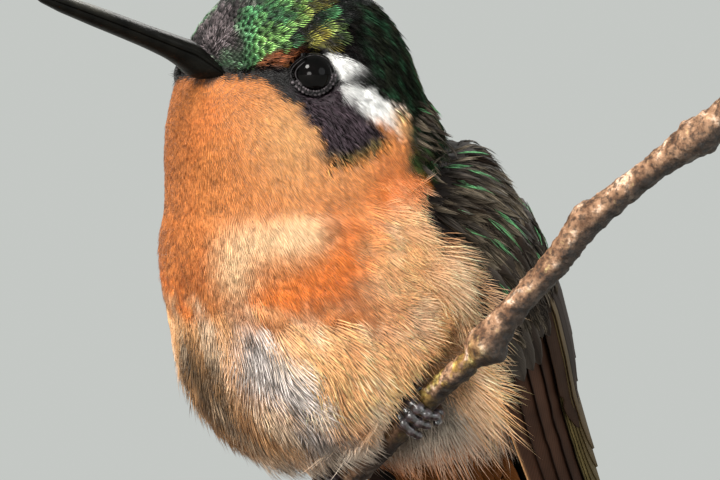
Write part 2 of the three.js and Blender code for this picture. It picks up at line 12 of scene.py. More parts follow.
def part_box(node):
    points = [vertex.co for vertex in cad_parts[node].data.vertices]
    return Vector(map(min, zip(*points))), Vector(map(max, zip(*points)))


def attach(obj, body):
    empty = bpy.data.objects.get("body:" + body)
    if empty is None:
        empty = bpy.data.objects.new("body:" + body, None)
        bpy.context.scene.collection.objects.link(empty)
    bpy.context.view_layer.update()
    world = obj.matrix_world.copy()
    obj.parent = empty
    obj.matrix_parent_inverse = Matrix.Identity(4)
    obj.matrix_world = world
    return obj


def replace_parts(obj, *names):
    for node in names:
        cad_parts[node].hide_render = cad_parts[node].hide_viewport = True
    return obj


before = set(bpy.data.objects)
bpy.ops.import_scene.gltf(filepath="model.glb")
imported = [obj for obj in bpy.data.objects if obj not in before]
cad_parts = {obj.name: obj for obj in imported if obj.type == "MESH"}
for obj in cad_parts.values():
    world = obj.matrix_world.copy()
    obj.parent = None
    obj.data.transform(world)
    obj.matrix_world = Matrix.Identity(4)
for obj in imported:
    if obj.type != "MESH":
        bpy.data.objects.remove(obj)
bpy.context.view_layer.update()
bpy.ops.object.select_all(action="DESELECT")

MM = 0.001

# Places. The bird's own frame has x forward, y to its left and z up, in millimetres.
BODY_YAW = math.radians(48)
BIRD_PLACE = np.array([-2.0, 3.0, 51.5])
HEAD_CENTRE = np.array([8.6, 0.0, 15.3])
HEAD_YAW = math.radians(-8)
SPINE_LOW = np.array([1.5, 0.0, -6.5])
SPINE_HIGH = np.array([8.4, 0.0, 14.2])

turn = math.pi + BODY_YAW
BIRD_TO_STAND = np.array(
    [
        [math.cos(turn), -math.sin(turn), 0.0],
        [math.sin(turn), math.cos(turn), 0.0],
        [0.0, 0.0, 1.0],
    ]
)


def to_stand(places):
    """Bird-frame millimetres to the stand's frame in metres."""
    return (np.asarray(places, float) @ BIRD_TO_STAND.T + BIRD_PLACE) * MM


def to_bird(places):
    """The stand's frame in metres to bird-frame millimetres."""
    return (np.asarray(places, float) / MM - BIRD_PLACE) @ BIRD_TO_STAND


def unit(vectors):
    """Vectors of the same directions, one long."""
    length = np.linalg.norm(vectors, axis=-1, keepdims=True)
    return vectors / np.maximum(length, 1e-9)


def smooth(low, high, value):
    """0 at the low mark and 1 at the high one, with an eased change between them."""
    share = np.clip((value - low) / (high - low), 0, 1)
    return share * share * (3 - 2 * share)


def mix(first, second, share):
    return first + (second - first) * np.asarray(share)[..., None]


def layered(colour, *layers):
    """A colour with others laid over it in turn, each with the share that it covers."""
    for other, share in layers:
        colour = mix(colour, other, share)
    return colour


def laid_flat(ways, normals):
    """Directions turned down onto the surface that has the given normals."""
    return unit(ways - normals * np.sum(ways * normals, 1)[:, None])


def head_frame(places):
    """Places about the head's centre, with x along the bill."""
    away = places - HEAD_CENTRE
    cosine, sine = math.cos(-HEAD_YAW), math.sin(-HEAD_YAW)
    x = away[:, 0] * cosine - away[:, 1] * sine
    y = away[:, 0] * sine + away[:, 1] * cosine
    return np.stack([x, y, away[:, 2]], 1)


def from_head(place):
    """The reverse of head_frame for one place."""
    cosine, sine = math.cos(HEAD_YAW), math.sin(HEAD_YAW)
    x, y, z = place
    return HEAD_CENTRE + np.array([x * cosine - y * sine, x * sine + y * cosine, z])


def rough(places, size, seed=0):
    """Smooth random values between about -1 and 1, with lumps of the given size."""
    draw = np.random.default_rng(seed)
    total = np.zeros(len(places))
    for octave in range(3):
        for _ in range(5):
            way = unit(draw.normal(size=3)) * (2 * math.pi / (size * 1.7)) * 1.9**octave
            total += np.sin(places @ way + draw.uniform(0, 2 * math.pi)) * 0.5**octave
    return total / 3.2


# Colours, as linear light.
def paint(red, green, blue):
    """A colour given in 0 to 255 as the eye sees it, turned to linear light."""
    share = np.array([red, green, blue]) / 255
    return np.where(share <= 0.04045, share / 12.92, ((share + 0.055) / 1.055) ** 2.4)


ORANGE = paint(222, 138, 72)
BAND_ORANGE = paint(255, 142, 56)
DEEP_ORANGE = paint(222, 112, 44)
DULL_ORANGE = paint(202, 122, 64)
PALE_ORANGE = paint(246, 184, 120)
# The colour of the painted sheen, a pale highlight on the breast.
SHEEN_ORANGE = paint(254, 214, 168)
BUFF = paint(250, 190, 132)
PALE_BUFF = paint(248, 216, 182)
GREY_WHITE = paint(222, 212, 208)
# Dark feather bases with painted shade, for the lower belly.
DUSKY_AND_SHADE = paint(60, 43, 22)
VENT_GREY = paint(188, 174, 158)
UNDERTAIL = paint(186, 116, 60)
BLACK = paint(15, 11, 12)
CHEEK_BLACK = paint(66, 56, 62)
NAPE = paint(24, 28, 20)
NAPE_GLOSS = paint(38, 74, 52)
WHITE = paint(252, 252, 251)
CROWN_GREEN = paint(172, 242, 130)
CROWN_EMERALD = paint(128, 216, 142)
CROWN_YELLOW = paint(190, 174, 78)
CROWN_DARK = paint(10, 20, 12)
BRONZE = paint(130, 118, 120)
RUFOUS = paint(144, 86, 56)
OLIVE = paint(128, 112, 56)
BACK_GREEN = paint(30, 50, 28)
BACK_BRONZE = paint(66, 54, 34)
SHOULDER_GREEN = paint(36, 92, 44)
WING_DARK = paint(44, 30, 22)
WING_BROWN = paint(58, 38, 28)
WING_OLIVE = paint(84, 74, 46)
COVERT_GREY = paint(88, 82, 76)
COVERT_PALE = paint(150, 136, 116)
COVERT_GLOSS = paint(150, 244, 164)


# Markings. Those on the side of the head are outlines and edges in degrees round from the bill and up.
RUFOUS_MARK = [(29, 3.7), (33, 6.6), (37, 9.2), (42, 10.8), (46, 10.2), (50, 10.5), (53, 12), (56, 11),
               (52, 9.2), (48, 4.7), (45, 2.7), (40, 3.4), (36, 3.2), (31, 2.7)]
LORE_MARK = [(1, 3.6), (11, 2.4), (28, 2.8), (33, 2.9), (47, 2.7), (52, 6.9), (57, 11.3), (67, 11.1),
             (70, 5), (71, -5), (66, -13), (58, -18), (51, -14.8), (47, -14), (44, -12.4), (41, -9.5),
             (38, -6.4), (35, -5), (32, -4.2), (28, -3.8), (23, -3.8), (21, -3.9), (13, -3.6), (3, -2)]
CHEEK_MARK = [(47, -8), (51, -14.8), (53, -17.1), (56, -20.9), (59, -25.4), (61, -29.3), (62, -32.6),
              (64, -35.4), (71, -34.8), (78, -33.4), (83, -32.3), (89, -29.9), (92, -28.7), (91, -26),
              (89, -22), (86, -19), (83, -15), (78, -10), (73, -6), (66, 0)]
CHEEK_FOOT = [(64, -35.4), (78, -33.4), (92, -28.7)]
SPOT_MARK = [(67, 10.1), (71, 8.5), (75, 6.9), (81, 4.9), (86, 2.3), (81, -0.6), (76, -3.5), (74, -3.9),
             (70, -2.1), (68, 2), (65, 5.3)]
STRIPE_MARK = [(71, -7.5), (73, -6.2), (79, -6.2), (84, -7.6), (89, -9.3), (95, -12.7), (99, -15.5),
               (107, -16.5), (112, -17.9), (108, -22.8), (102, -26.9), (95, -23.7), (89, -20.4), (83, -18.5),
               (80, -15.5), (75, -11.8)]
CHIN_MARK = [(0, 0), (9, 0), (8, -5), (4, -7.5), (0, -6)]
CROWN_EDGE = [(0, 3.6), (11, 2), (28, 2.5), (31, 5), (35, 9), (42, 11.5), (47, 12), (54, 15.4), (61, 13),
              (68, 12.5), (74, 17), (82, 29), (90, 44), (130, 46), (180, 44)]
DARK_EDGE = [(0, 1.5), (28, 1.7), (47, 2.7), (60, -6), (72, -9), (83, -14), (95, -19), (107, -20), (112, -22),
             (118, -27), (124, -33), (135, -38), (180, -46)]
# These lines lie on the body: the shoulder's and the fringe's as distance down it and degrees round it, and
# the breast band's as distance to the side and height.
SHOULDER_LINE = [(-16, 98), (-12.5, 90), (-10, 78), (-7.7, 79), (-4.7, 83), (-2.7, 81), (0, 80), (2.8, 85),
                 (6.5, 88), (10, 84), (14, 80), (30, 84)]
BAND_LINE = [(14.6, 6.4), (13.4, 4.6), (13.0, 3.2), (12.6, 1.5), (11.9, -0.6), (11.0, -2.5), (9.1, -4.1),
             (6.7, -5.2), (4.4, -6.0)]
FRINGE_LINE = [(-3.4, 71), (-1.5, 75), (2.2, 80), (6, 78), (10.7, 70), (12, 65), (14, 67), (17, 69)]


def along_line(line, places):
    """The height of a marking's edge at each place along it."""
    across, up = zip(*line)
    return np.interp(places, across, up)


def from_side(points, start, end):
    """How far each point is from a straight side between two points."""
    side = end - start
    share = np.clip(((points - start) @ side) / (side @ side), 0, 1)
    return np.linalg.norm(points - start - share[:, None] * side, axis=1)


def from_path(points, path):
    """How far each point is from a line of straight sides."""
    path = np.array(path, float)
    return np.min([from_side(points, start, end) for start, end in zip(path, path[1:])], axis=0)


def within(points, outline, soften):
    """1 inside an outline and 0 outside it, with a soft edge."""
    outline = np.array(outline, float)
    following = np.roll(outline, -1, axis=0)
    nearest = np.full(len(points), 1e9)
    inside = np.zeros(len(points), bool)
    for start, end in zip(outline, following):
        side = end - start
        nearest = np.minimum(nearest, from_side(points, start, end))
        crosses = (start[1] > points[:, 1]) != (end[1] > points[:, 1])
        level = (points[:, 1] - start[1]) / np.where(end[1] == start[1], 1e-9, end[1] - start[1])
        inside ^= crosses & (points[:, 0] < start[0] + level * side[0])
    signed = np.where(inside, -nearest, nearest)
    return 1 - smooth(-soften, soften, signed)


WING_ORIGIN = np.array([-0.45, 0.0, 0.0])
WING_PITCH = math.radians(54.5)
WING_AXIS = np.array([-math.cos(WING_PITCH), 0.0, -math.sin(WING_PITCH)])
WING_FRONT = np.array([math.sin(WING_PITCH), 0.0, -math.cos(WING_PITCH)])


def round_body(places):
    """How far down the body's slanting axis each place is, and how many degrees round it from the belly."""
    away = places - WING_ORIGIN
    down = away @ WING_AXIS
    angle = np.degrees(np.arctan2(np.abs(away[:, 1]), away @ WING_FRONT))
    return down, angle


def head_angles(places):
    """How far round from the bill each place is, on either side, and how far up, in degrees."""
    local = head_frame(places)
    around = np.abs(np.degrees(np.arctan2(local[:, 1], local[:, 0])))
    up = np.degrees(np.arctan2(local[:, 2], np.hypot(local[:, 0], local[:, 1])))
    return around, up


def eye_frame(side):
    """The eyeball's centre and outward direction in the stand's metres, from the CAD ball."""
    low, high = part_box(f"eye_{side}")
    centre = (np.array(low) + np.array(high)) / 2
    return centre, unit(centre - to_stand([HEAD_CENTRE])[0])


EYE_SPOTS = [to_bird([eye_frame(name)[0] + eye_frame(name)[1] * 1.1 * MM])[0] for name in ("left", "right")]


def from_eyes(places):
    return np.minimum(*(np.linalg.norm(places - spot, axis=1) for spot in EYE_SPOTS))


def blob(places, centre, size):
    """1 at a centre, falling off over the given sizes in each direction."""
    away = (places - np.array(centre)) / np.array(size)
    return np.exp(-np.sum(away**2, axis=1))


def flat(colour, count):
    return np.tile(colour, (count, 1))


def throat_colour(places):
    """Orange, duller on the right side, with a pale painted sheen and a bright band across the breast."""
    # Painted sheen: pale blobs that stand for light catching the breast feathers.
    sheen = blob(places, (19.2, 5.2, -0.2), (9, 3.4, 1.7)) + blob(places, (17.0, 8.3, 0.6), (9, 1.7, 1.4))
    sheen = sheen + blob(places, (20.2, 2.2, -3.2), (8, 2.2, 2.8))
    band = smooth(2.0, 0.4, from_path(np.stack([np.abs(places[:, 1]), places[:, 2]], 1), BAND_LINE))
    return layered(
        flat(ORANGE, len(places)),
        (DEEP_ORANGE, 0.3 * smooth(0.0, 0.9, rough(places, 3.5, 4))),
        (DULL_ORANGE, 0.9 * smooth(0.5, -5.0, places[:, 1]) * smooth(-8, 2, places[:, 2])),
        (PALE_ORANGE, 0.85 * blob(places, (17.0, 8.0, 9.5), (8, 3.6, 5.5))),
        (SHEEN_ORANGE, np.clip(sheen, 0, 1) * 0.95),
        (BAND_ORANGE, 0.95 * band * smooth(2, 6, places[:, 0])),
    )


def belly_colour(places):
    """Buff with paler lumps, orange flanks, a right side darkened by dusky feather bases and painted shade, a
    parted white patch in front with painted shade between its strands, and painted shade low on the belly.
    """
    height = places[:, 2]
    lumps = rough(places, 2.6, 5)
    flank = smooth(7, 11, np.abs(places[:, 1])) * smooth(-14, -10, height)
    # Dark feather bases with painted shade on the lower right side.
    dusk_and_shade = blob(places, (16.0, -5.5, -13.5), (9, 5.5, 5.0)) * (1.2 + 0.4 * rough(places, 1.6, 7))
    patch = blob(places, (17.8, 2.6, -10.8), (7, 1.7, 3.0)) + blob(places, (14.8, 4.4, -15.0), (5, 1.3, 3.0))
    patch = patch + blob(places, (10.5, 4.9, -18.5), (3, 1.6, 2.0))
    # Painted shade in the gaps between the white patch's strands.
    gaps = patch * smooth(0.1, 0.5, rough(places, 0.8, 8))
    return layered(
        flat(BUFF, len(places)),
        (PALE_BUFF, smooth(-0.1, 0.7, lumps) * (1 - 0.3 * flank)),
        (ORANGE, 0.15 * np.maximum(smooth(0.1, -0.7, lumps), flank)),
        (PALE_BUFF, 0.5 * blob(places, (13.4, 12.0, -4.4), (6, 2.0, 1.4))),
        (DUSKY_AND_SHADE, np.clip(dusk_and_shade, 0, 0.92)),
        (GREY_WHITE, np.clip(patch * 1.4, 0, 0.95)),
        # Painted shade under the belly, darker towards the bottom.
        (DUSKY_AND_SHADE, 0.45 * smooth(-14.5, -18.5, height) * smooth(0, 3, places[:, 0])),
        (DUSKY_AND_SHADE * 0.5, np.clip(gaps * 1.4, 0, 0.92)),
    )


def back_colour(places):
    return mix(flat(BACK_GREEN, len(places)), BACK_BRONZE, smooth(-0.4, 0.7, rough(places, 1.6, 9)))


def crown_colour(places, around, up):
    """Emerald and yellow-green, bronze above the bill and dark behind, with a dark parting over the eye."""
    lumps = rough(places, 2.0, 11)
    around = around - 14 * smooth(0.0, -3.0, head_frame(places)[:, 1]) * smooth(60, 40, around)
    parting = smooth(4.5, 2.0, np.abs(up - 16.4 - 1.08 * (around - 46))) * smooth(43, 47, around)
    return layered(
        flat(CROWN_EMERALD, len(places)),
        (CROWN_GREEN, smooth(-0.6, 0.2, lumps) * smooth(20, 30, around)),
        (CROWN_YELLOW, smooth(44, 58, around) * smooth(-0.3, 0.4, lumps + 0.3)),
        (BRONZE, smooth(24, 8, around + 7 * lumps) * smooth(50, 36, up)),
        (CROWN_DARK, np.maximum(smooth(64, 78, around + 5 * lumps), parting)),
    )


def crown_share(places, around, up):
    """How far each place is on the crown, from 0 to 1."""
    crown = smooth(-1.0, 1.0, up - along_line(CROWN_EDGE, around))
    return np.maximum(crown, smooth(120, 150, around) * smooth(0, 20, up)) * smooth(3.0, 6.0, places[:, 2])


def plumage(places):
    """The colour of the plumage at each place on the bird, the same for the skin and the feathers on it."""
    height = places[:, 2]
    down, angle = round_body(places)
    around, up = head_angles(places)
    spots = np.stack([around, up], 1)
    wobble = rough(places, 1.8, 3)
    ragged = rough(places, 0.7, 13)[:, None]

    flank = smooth(11.0, 13.5, np.abs(places[:, 1]) + 0.5 * wobble) * smooth(4.5, 1.0, height)
    belly = np.maximum(smooth(-5.0, -8.5, height + 1.6 * wobble + 0.1 * places[:, 1]), flank)
    past_shoulder = angle + 3 * wobble - along_line(SHOULDER_LINE, down)
    dark = smooth(-1.2, 1.2, up - along_line(DARK_EDGE, around) + 0.8 * wobble) * smooth(3.0, 6.0, height)
    dark_tone = layered(
        flat(BLACK, len(places)),
        (NAPE, smooth(80, 105, around)),
        (back_colour(places), smooth(120, 150, around)),
        (NAPE_GLOSS, 0.7 * smooth(0.15, 0.6, rough(places, 1.1, 15)) * smooth(84, 104, around)),
    )
    cheek = within(spots + 1.2 * wobble[:, None] + 1.8 * ragged, CHEEK_MARK, 1.6)
    above_foot = up - along_line(CHEEK_FOOT, around) - 2 * wobble
    stripe = within(spots + 0.8 * wobble[:, None] + 1.2 * ragged, STRIPE_MARK, 1.4)
    stripe_end = smooth(94, 104, around) * smooth(-13, -20, up)
    return layered(
        throat_colour(places),
        (belly_colour(places), belly),
        (VENT_GREY, smooth(9.0, 12.0, down + wobble) * smooth(62, 48, angle)),
        (UNDERTAIL, smooth(16.5, 19.0, down + 0.6 * wobble) * smooth(100, 85, angle)),
        (back_colour(places), smooth(-3, 5, past_shoulder) * smooth(16.0, 12.0, height)),
        (dark_tone, dark),
        (crown_colour(places, around, up), crown_share(places, around, up)),
        (RUFOUS, 0.8 * within(spots, RUFOUS_MARK, 1.6)),
        (BLACK, within(spots, LORE_MARK, 1.0)),
        (CHEEK_BLACK, cheek),
        (OLIVE, 0.6 * cheek * smooth(4.0, 0.0, above_foot)),
        (BLACK, within(spots, CHIN_MARK, 1.0) * 0.85),
        (BLACK, smooth(2.5, 1.9, from_eyes(places))),
        (WHITE, within(spots, SPOT_MARK, 1.4)),
        (mix(flat(WHITE, len(places)), BUFF, stripe_end), stripe),
    )


# Materials
def new_material(name, roughness, **sockets):
    """A material with its shader's own sockets set. Their names are written with underscores."""
    material = bpy.data.materials.new(name)
    material.use_nodes = True
    shader = material.node_tree.nodes["Principled BSDF"]
    for socket, value in {"Roughness": roughness, **sockets}.items():
        shader.inputs[socket.replace("_", " ")].default_value = value
    return material, material.node_tree, shader


def add(tree, kind, **settings):
    """A node with some of its sockets or settings given."""
    node = tree.nodes.new(kind)
    for name, value in settings.items():
        if name in node.inputs:
            node.inputs[name].default_value = value
        else:
            setattr(node, name, value)
    return node


def calculate(tree, operation, *values):
    """A sum on numbers and on other nodes' values."""
    node = add(tree, "ShaderNodeMath", operation=operation)
    for socket, value in zip(node.inputs, values):
        if isinstance(value, (int, float)):
            socket.default_value = value
        else:
            tree.links.new(value, socket)
    return node.outputs[0]


def ramp(tree, value, *stops):
    """A colour ramp over a value. Each stop is a position and a linear colour, or a level of grey."""
    node = add(tree, "ShaderNodeValToRGB")
    elements = node.color_ramp.elements
    while len(elements) < len(stops):
        elements.new(0.5)
    for element, (position, colour) in zip(elements, stops):
        element.position = position
        element.color = (*(colour if np.ndim(colour) else (colour,) * 3), 1)
    tree.links.new(value, node.inputs["Fac"])
    return node.outputs["Color"]


def object_place(tree, stretch=None):
    """Places on the object, with its pattern drawn out along an axis where a stretch is given."""
    places = add(tree, "ShaderNodeTexCoord").outputs["Object"]
    if stretch is None:
        return places
    mapping = add(tree, "ShaderNodeMapping", Scale=stretch)
    tree.links.new(places, mapping.inputs["Vector"])
    return mapping.outputs["Vector"]


def noise(tree, scale, detail=4.0, roughness=0.55, stretch=None):
    node = add(tree, "ShaderNodeTexNoise", Scale=scale, Detail=detail, Roughness=roughness)
    tree.links.new(object_place(tree, stretch), node.inputs["Vector"])
    return node.outputs["Fac"]


def bump(tree, shader, height, strength, distance):
    node = add(tree, "ShaderNodeBump", Strength=strength, Distance=distance)
    tree.links.new(height, node.inputs["Height"])
    tree.links.new(node.outputs["Normal"], shader.inputs["Normal"])


def multiply(tree, colour, factor):
    node = add(tree, "ShaderNodeMix", data_type="RGBA", blend_type="MULTIPLY", Factor=1.0)
    tree.links.new(colour, node.inputs[6])
    tree.links.new(factor, node.inputs[7])
    return node.outputs[2]


def painted(tree, shader, *colours):
    """The product of some colours as the material's colour."""
    product = colours[0]
    for colour in colours[1:]:
        product = multiply(tree, product, colour)
    tree.links.new(product, shader.inputs["Base Color"])


def mesh_tint(tree):
    return add(tree, "ShaderNodeAttribute", attribute_name="tint").outputs["Color"]


def grained(name, roughness, scale, low, high, **sockets):
    """The mesh's own tint, made a little uneven by a fine grain."""
    material, tree, shader = new_material(name, roughness, **sockets)
    painted(tree, shader, mesh_tint(tree), ramp(tree, noise(tree, scale), (0.3, low), (0.7, high)))
    return material, tree, shader


def barb_lines(tree, count, steep):
    """Slanting lines on both sides of a shaft, from a feather's own map, as a value between 0 and 1."""
    split = add(tree, "ShaderNodeSeparateXYZ")
    tree.links.new(add(tree, "ShaderNodeUVMap", uv_map="web").outputs["UV"], split.inputs["Vector"])
    away = calculate(tree, "ABSOLUTE", calculate(tree, "SUBTRACT", split.outputs["X"], 0.5))
    slant = calculate(tree, "MULTIPLY_ADD", away, -steep, split.outputs["Y"])
    wave = calculate(tree, "SINE", calculate(tree, "MULTIPLY", slant, 2 * math.pi * count))
    level = add(tree, "ShaderNodeMapRange")
    level.inputs["From Min"].default_value = -1
    tree.links.new(wave, level.inputs["Value"])
    return level.outputs["Result"]


def glossy_feather_material():
    material, tree, shader = new_material("glossy_feather", 0.4, Metallic=0.5)
    barbs = barb_lines(tree, 5.0, 0.9)
    painted(tree, shader, mesh_tint(tree), ramp(tree, barbs, (0.15, 0.75), (0.85, 1.15)))
    bump(tree, shader, barbs, 0.4, 0.00004)
    return material


def flight_feather_material():
    """Brown-black webs with slanting barb lines on both sides of the shaft."""
    material, tree, shader = new_material("flight_feather", 0.62, Specular_IOR_Level=0.06)
    level = barb_lines(tree, 1.9, 4.4)
    barbs = ramp(tree, level, (0.1, 0.86), (0.9, 1.08))
    painted(tree, shader, mesh_tint(tree), barbs, ramp(tree, noise(tree, 320), (0.3, 0.75), (0.7, 1.2)))
    bump(tree, shader, level, 0.05, 0.00002)
    return material


def skin_material():
    material, tree, shader = grained("down_skin", 0.9, 900, 0.8, 1.1)
    bump(tree, shader, noise(tree, 2500), 0.6, 0.0002)
    return material


def bill_material():
    material, tree, shader = new_material("bill_horn", 0.42, Specular_IOR_Level=0.05)
    horn = ramp(tree, noise(tree, 700), (0.3, paint(6, 6, 5)), (0.75, paint(17, 16, 13)))
    painted(tree, shader, horn, mesh_tint(tree))
    bump(tree, shader, noise(tree, 2600, 5), 0.5, 0.0001)
    return material


def eye_material():
    material, tree, shader = new_material("eye_gloss", 0.08, IOR=1.38, Specular_IOR_Level=0.13)
    painted(tree, shader, ramp(tree, noise(tree, 900), (0.35, paint(2, 2, 2)), (0.8, paint(8, 6, 6))))
    return material


def lid_material(name, dark, pale):
    material, tree, shader = new_material(name, 0.55, Specular_IOR_Level=0.2)
    low, high = (paint(level, level * 0.92, level * 0.96) for level in (dark, pale))
    painted(tree, shader, ramp(tree, noise(tree, 3200), (0.38, low), (0.62, high)))
    bump(tree, shader, noise(tree, 4000), 0.6, 0.0001)
    return material


def foot_material():
    material, tree, shader = new_material("foot_scales", 0.3, Coat_Weight=1.0, Coat_Roughness=0.1)
    cells = add(tree, "ShaderNodeTexVoronoi", feature="DISTANCE_TO_EDGE", Scale=1900)
    tree.links.new(object_place(tree), cells.inputs["Vector"])
    edges = cells.outputs["Distance"]
    painted(tree, shader, mesh_tint(tree), ramp(tree, edges, (0.02, 0.45), (0.25, 1.1)))
    bump(tree, shader, edges, 0.5, 0.00012)
    return material


def bark_material():
    """Ridged purple-brown bark under pale lichen, with dark cracks."""
    material, tree, shader = new_material("bark", 0.6, Specular_IOR_Level=0.4)
    browns = (paint(38, 23, 12), paint(88, 60, 40), paint(146, 112, 86), paint(240, 216, 194))
    wood = ramp(tree, noise(tree, 520, 8, 0.65), *zip((0.3, 0.42, 0.56, 0.72), browns))
    lichen = ramp(tree, noise(tree, 1100, 6, 0.7), (0.6, 0), (0.72, 0.6))
    patched = add(tree, "ShaderNodeMix", data_type="RGBA")
    tree.links.new(lichen, patched.inputs["Factor"])
    tree.links.new(wood, patched.inputs[6])
    patched.inputs[7].default_value = (*paint(196, 172, 120), 1)
    cracks = ramp(tree, noise(tree, 2200, 6), (0.38, 0.3), (0.52, 1.0))
    painted(tree, shader, patched.outputs[2], cracks, mesh_tint(tree))
    bump(tree, shader, noise(tree, 1500, 8, 0.7), 0.9, 0.0004)
    return material


def turned_wood_material():
    material, tree, shader = new_material("turned_wood", 0.34, Coat_Weight=0.35, Coat_Roughness=0.2)
    grain = noise(tree, 45, 8, 0.65, (1, 9, 9))
    browns = (paint(46, 26, 16), paint(74, 44, 28), paint(104, 66, 42))
    painted(tree, shader, ramp(tree, grain, *zip((0.3, 0.5, 0.68), browns)))
    bump(tree, shader, grain, 0.08, 0.0002)
    return material


def brass_material():
    material, tree, shader = new_material("stand_brass", 0.28, Metallic=1.0)
    drawn = noise(tree, 3000, stretch=(1, 1, 0.05))
    painted(tree, shader, ramp(tree, drawn, (0.3, paint(150, 112, 58)), (0.7, paint(196, 156, 92))))
    bump(tree, shader, drawn, 0.1, 0.00005)
    return material


def floor_material():
    material, tree, shader = new_material("studio_floor", 0.9)
    painted(tree, shader, ramp(tree, noise(tree, 3), (0.3, (0.44, 0.45, 0.43)), (0.7, (0.48, 0.49, 0.47))))
    return material


SOFT_FEATHER = grained(
    "soft_feather", 0.7, 1400, 0.84, 1.1, Specular_IOR_Level=0.2, Sheen_Weight=0.1, Sheen_Roughness=0.45
)[0]
DARK_FEATHER = grained("dark_feather", 0.65, 1600, 0.75, 1.2, Specular_IOR_Level=0.02)[0]
GLOSSY_FEATHER = glossy_feather_material()
FLIGHT_FEATHER = flight_feather_material()
DOWN_SKIN = skin_material()
BILL_HORN = bill_material()
EYE_GLOSS = eye_material()
LID_SKIN = lid_material("lid_skin", 5, 44)
LID_BEAD = lid_material("lid_bead", 30, 92)
FOOT_SCALES = foot_material()
BARK = bark_material()
TURNED_WOOD = turned_wood_material()
STAND_BRASS = brass_material()


# Mesh helpers
def add_object(name, data):
    item = bpy.data.objects.new(name, data)
    bpy.context.collection.objects.link(item)
    return item


def finish_piece(piece, material, slot):
    """Gives a piece its material and smooth shading, and lets it ride on the part."""
    piece.data.materials.clear()
    piece.data.materials.append(material)
    piece.data.polygons.foreach_set("use_smooth", [True] * len(piece.data.polygons))
    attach(piece, "root")
    return piece


def set_tint(mesh, tint):
    attribute = mesh.color_attributes.new("tint", "FLOAT_COLOR", "POINT")
    rows = np.concatenate([tint, np.ones((len(tint), 1))], 1).astype(np.float32)
    attribute.data.foreach_set("color", rows.ravel())


def mesh_piece(name, vertices, faces, material, slot, tint=None):
    """One object at the origin from stand-frame metres, riding on the part."""
    mesh = bpy.data.meshes.new(name)
    if isinstance(faces, np.ndarray):
        mesh.vertices.add(len(vertices))
        mesh.vertices.foreach_set("co", np.asarray(vertices, np.float32).ravel())
        mesh.loops.add(faces.size)
        mesh.loops.foreach_set("vertex_index", faces.astype(np.int32).ravel())
        mesh.polygons.add(len(faces))
        starts = np.arange(0, faces.size, faces.shape[1], dtype=np.int32)
        mesh.polygons.foreach_set("loop_start", starts)
        mesh.update(calc_edges=True)
    else:
        mesh.from_pydata([tuple(v) for v in vertices], [], faces)
    if tint is not None:
        set_tint(mesh, tint)
    return finish_piece(add_object(name, mesh), material, slot)


def tube_faces(rings, sides):
    """Faces of a closed tube through rings of points, each with the same number of sides."""
    faces = []
    for ring in range(rings - 1):
        for index in range(sides):
            a, b = ring * sides + index, ring * sides + (index + 1) % sides
            faces.append([a, b, b + sides, a + sides])
    return faces + [list(range(sides))[::-1], list(range((rings - 1) * sides, rings * sides))]


def sheet_faces(rows, columns):
    """Quads of a closed thin sheet: its upper points row by row, and then its lower ones."""
    wide = columns + 1
    count = (rows + 1) * wide
    faces = []
    for row in range(rows):
        for column in range(columns):
            a = row * wide + column
            faces.append((a, a + wide, a + wide + 1, a + 1))
            faces.append((count + a, count + a + 1, count + a + wide + 1, count + a + wide))
    rim = list(range(wide)) + [row * wide + columns for row in range(1, rows + 1)]
    rim += [rows * wide + column for column in range(columns - 1, -1, -1)]
    rim += [row * wide for row in range(rows - 1, 0, -1)]
    for first, second in zip(rim, rim[1:] + rim[:1]):
        faces.append((first, second, count + second, count + first))
    return np.array(faces)


def face_outwards(mesh):
    shape = bmesh.new()
    shape.from_mesh(mesh)
    bmesh.ops.recalc_face_normals(shape, faces=shape.faces)
    shape.to_mesh(mesh)
    shape.free()


def apply_modifiers(piece):
    bpy.ops.object.select_all(action="DESELECT")
    bpy.context.view_layer.objects.active = piece
    piece.select_set(True)
    for modifier in list(piece.modifiers):
        bpy.ops.object.modifier_apply(modifier=modifier.name)
    piece.select_set(False)


def apply_place():
    bpy.ops.object.transform_apply(location=True, rotation=True, scale=True)


def copy_of_nodes(name, nodes, voxel, smoothing):
    """A new object from the welded meshes of some CAD nodes, made one even skin of small faces."""
    shape = bmesh.new()
    for node in nodes:
        shape.from_mesh(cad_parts[node].data)
    bmesh.ops.remove_doubles(shape, verts=shape.verts, dist=1e-6)
    mesh = bpy.data.meshes.new(name)
    shape.to_mesh(mesh)
    shape.free()
    piece = add_object(name, mesh)
    remeshed(piece, voxel, smoothing)
    return piece


def remeshed(piece, voxel, smoothing):
    remesh = piece.modifiers.new("voxels", "REMESH")
    remesh.mode = "VOXEL"
    remesh.voxel_size = voxel * MM
    soften = piece.modifiers.new("soften", "SMOOTH")
    soften.factor = 0.5
    soften.iterations = smoothing
    apply_modifiers(piece)


def vertex_arrays(mesh):
    """The places and normals of a mesh's points."""
    rows = []
    for name in ("co", "normal"):
        values = np.empty(len(mesh.vertices) * 3, np.float32)
        mesh.vertices.foreach_get(name, values)
        rows.append(values.reshape(-1, 3).astype(float))
    return rows


def move_points(mesh, places):
    mesh.vertices.foreach_set("co", places.astype(np.float32).ravel())
    mesh.update()


def pushed(piece, depth):
    """Moves a piece's points out along their normals by some millimetres."""
    places, normals = vertex_arrays(piece.data)
    move_points(piece.data, places + normals * np.reshape(depth, (-1, 1)) * MM)


def solid_tree(piece):
    """A piece's surface, for finding what lies near a place or along a ray."""
    mesh = piece.data
    faces = [tuple(face.vertices) for face in mesh.polygons]
    return BVHTree.FromPolygons([vertex.co.copy() for vertex in mesh.vertices], faces)


# The skin under the feathers
SIDES = {"left": 1, "right": -1}
SKIN_VOXEL = 0.55
SKIN_SMOOTHING = 12
BILL_BASE = from_head((12.4, 0, 1.4))
GAPES = [from_head((10.6, side * 3.0, 0.6)) for side in SIDES.values()]
GAPE_DEPTH = 0.9


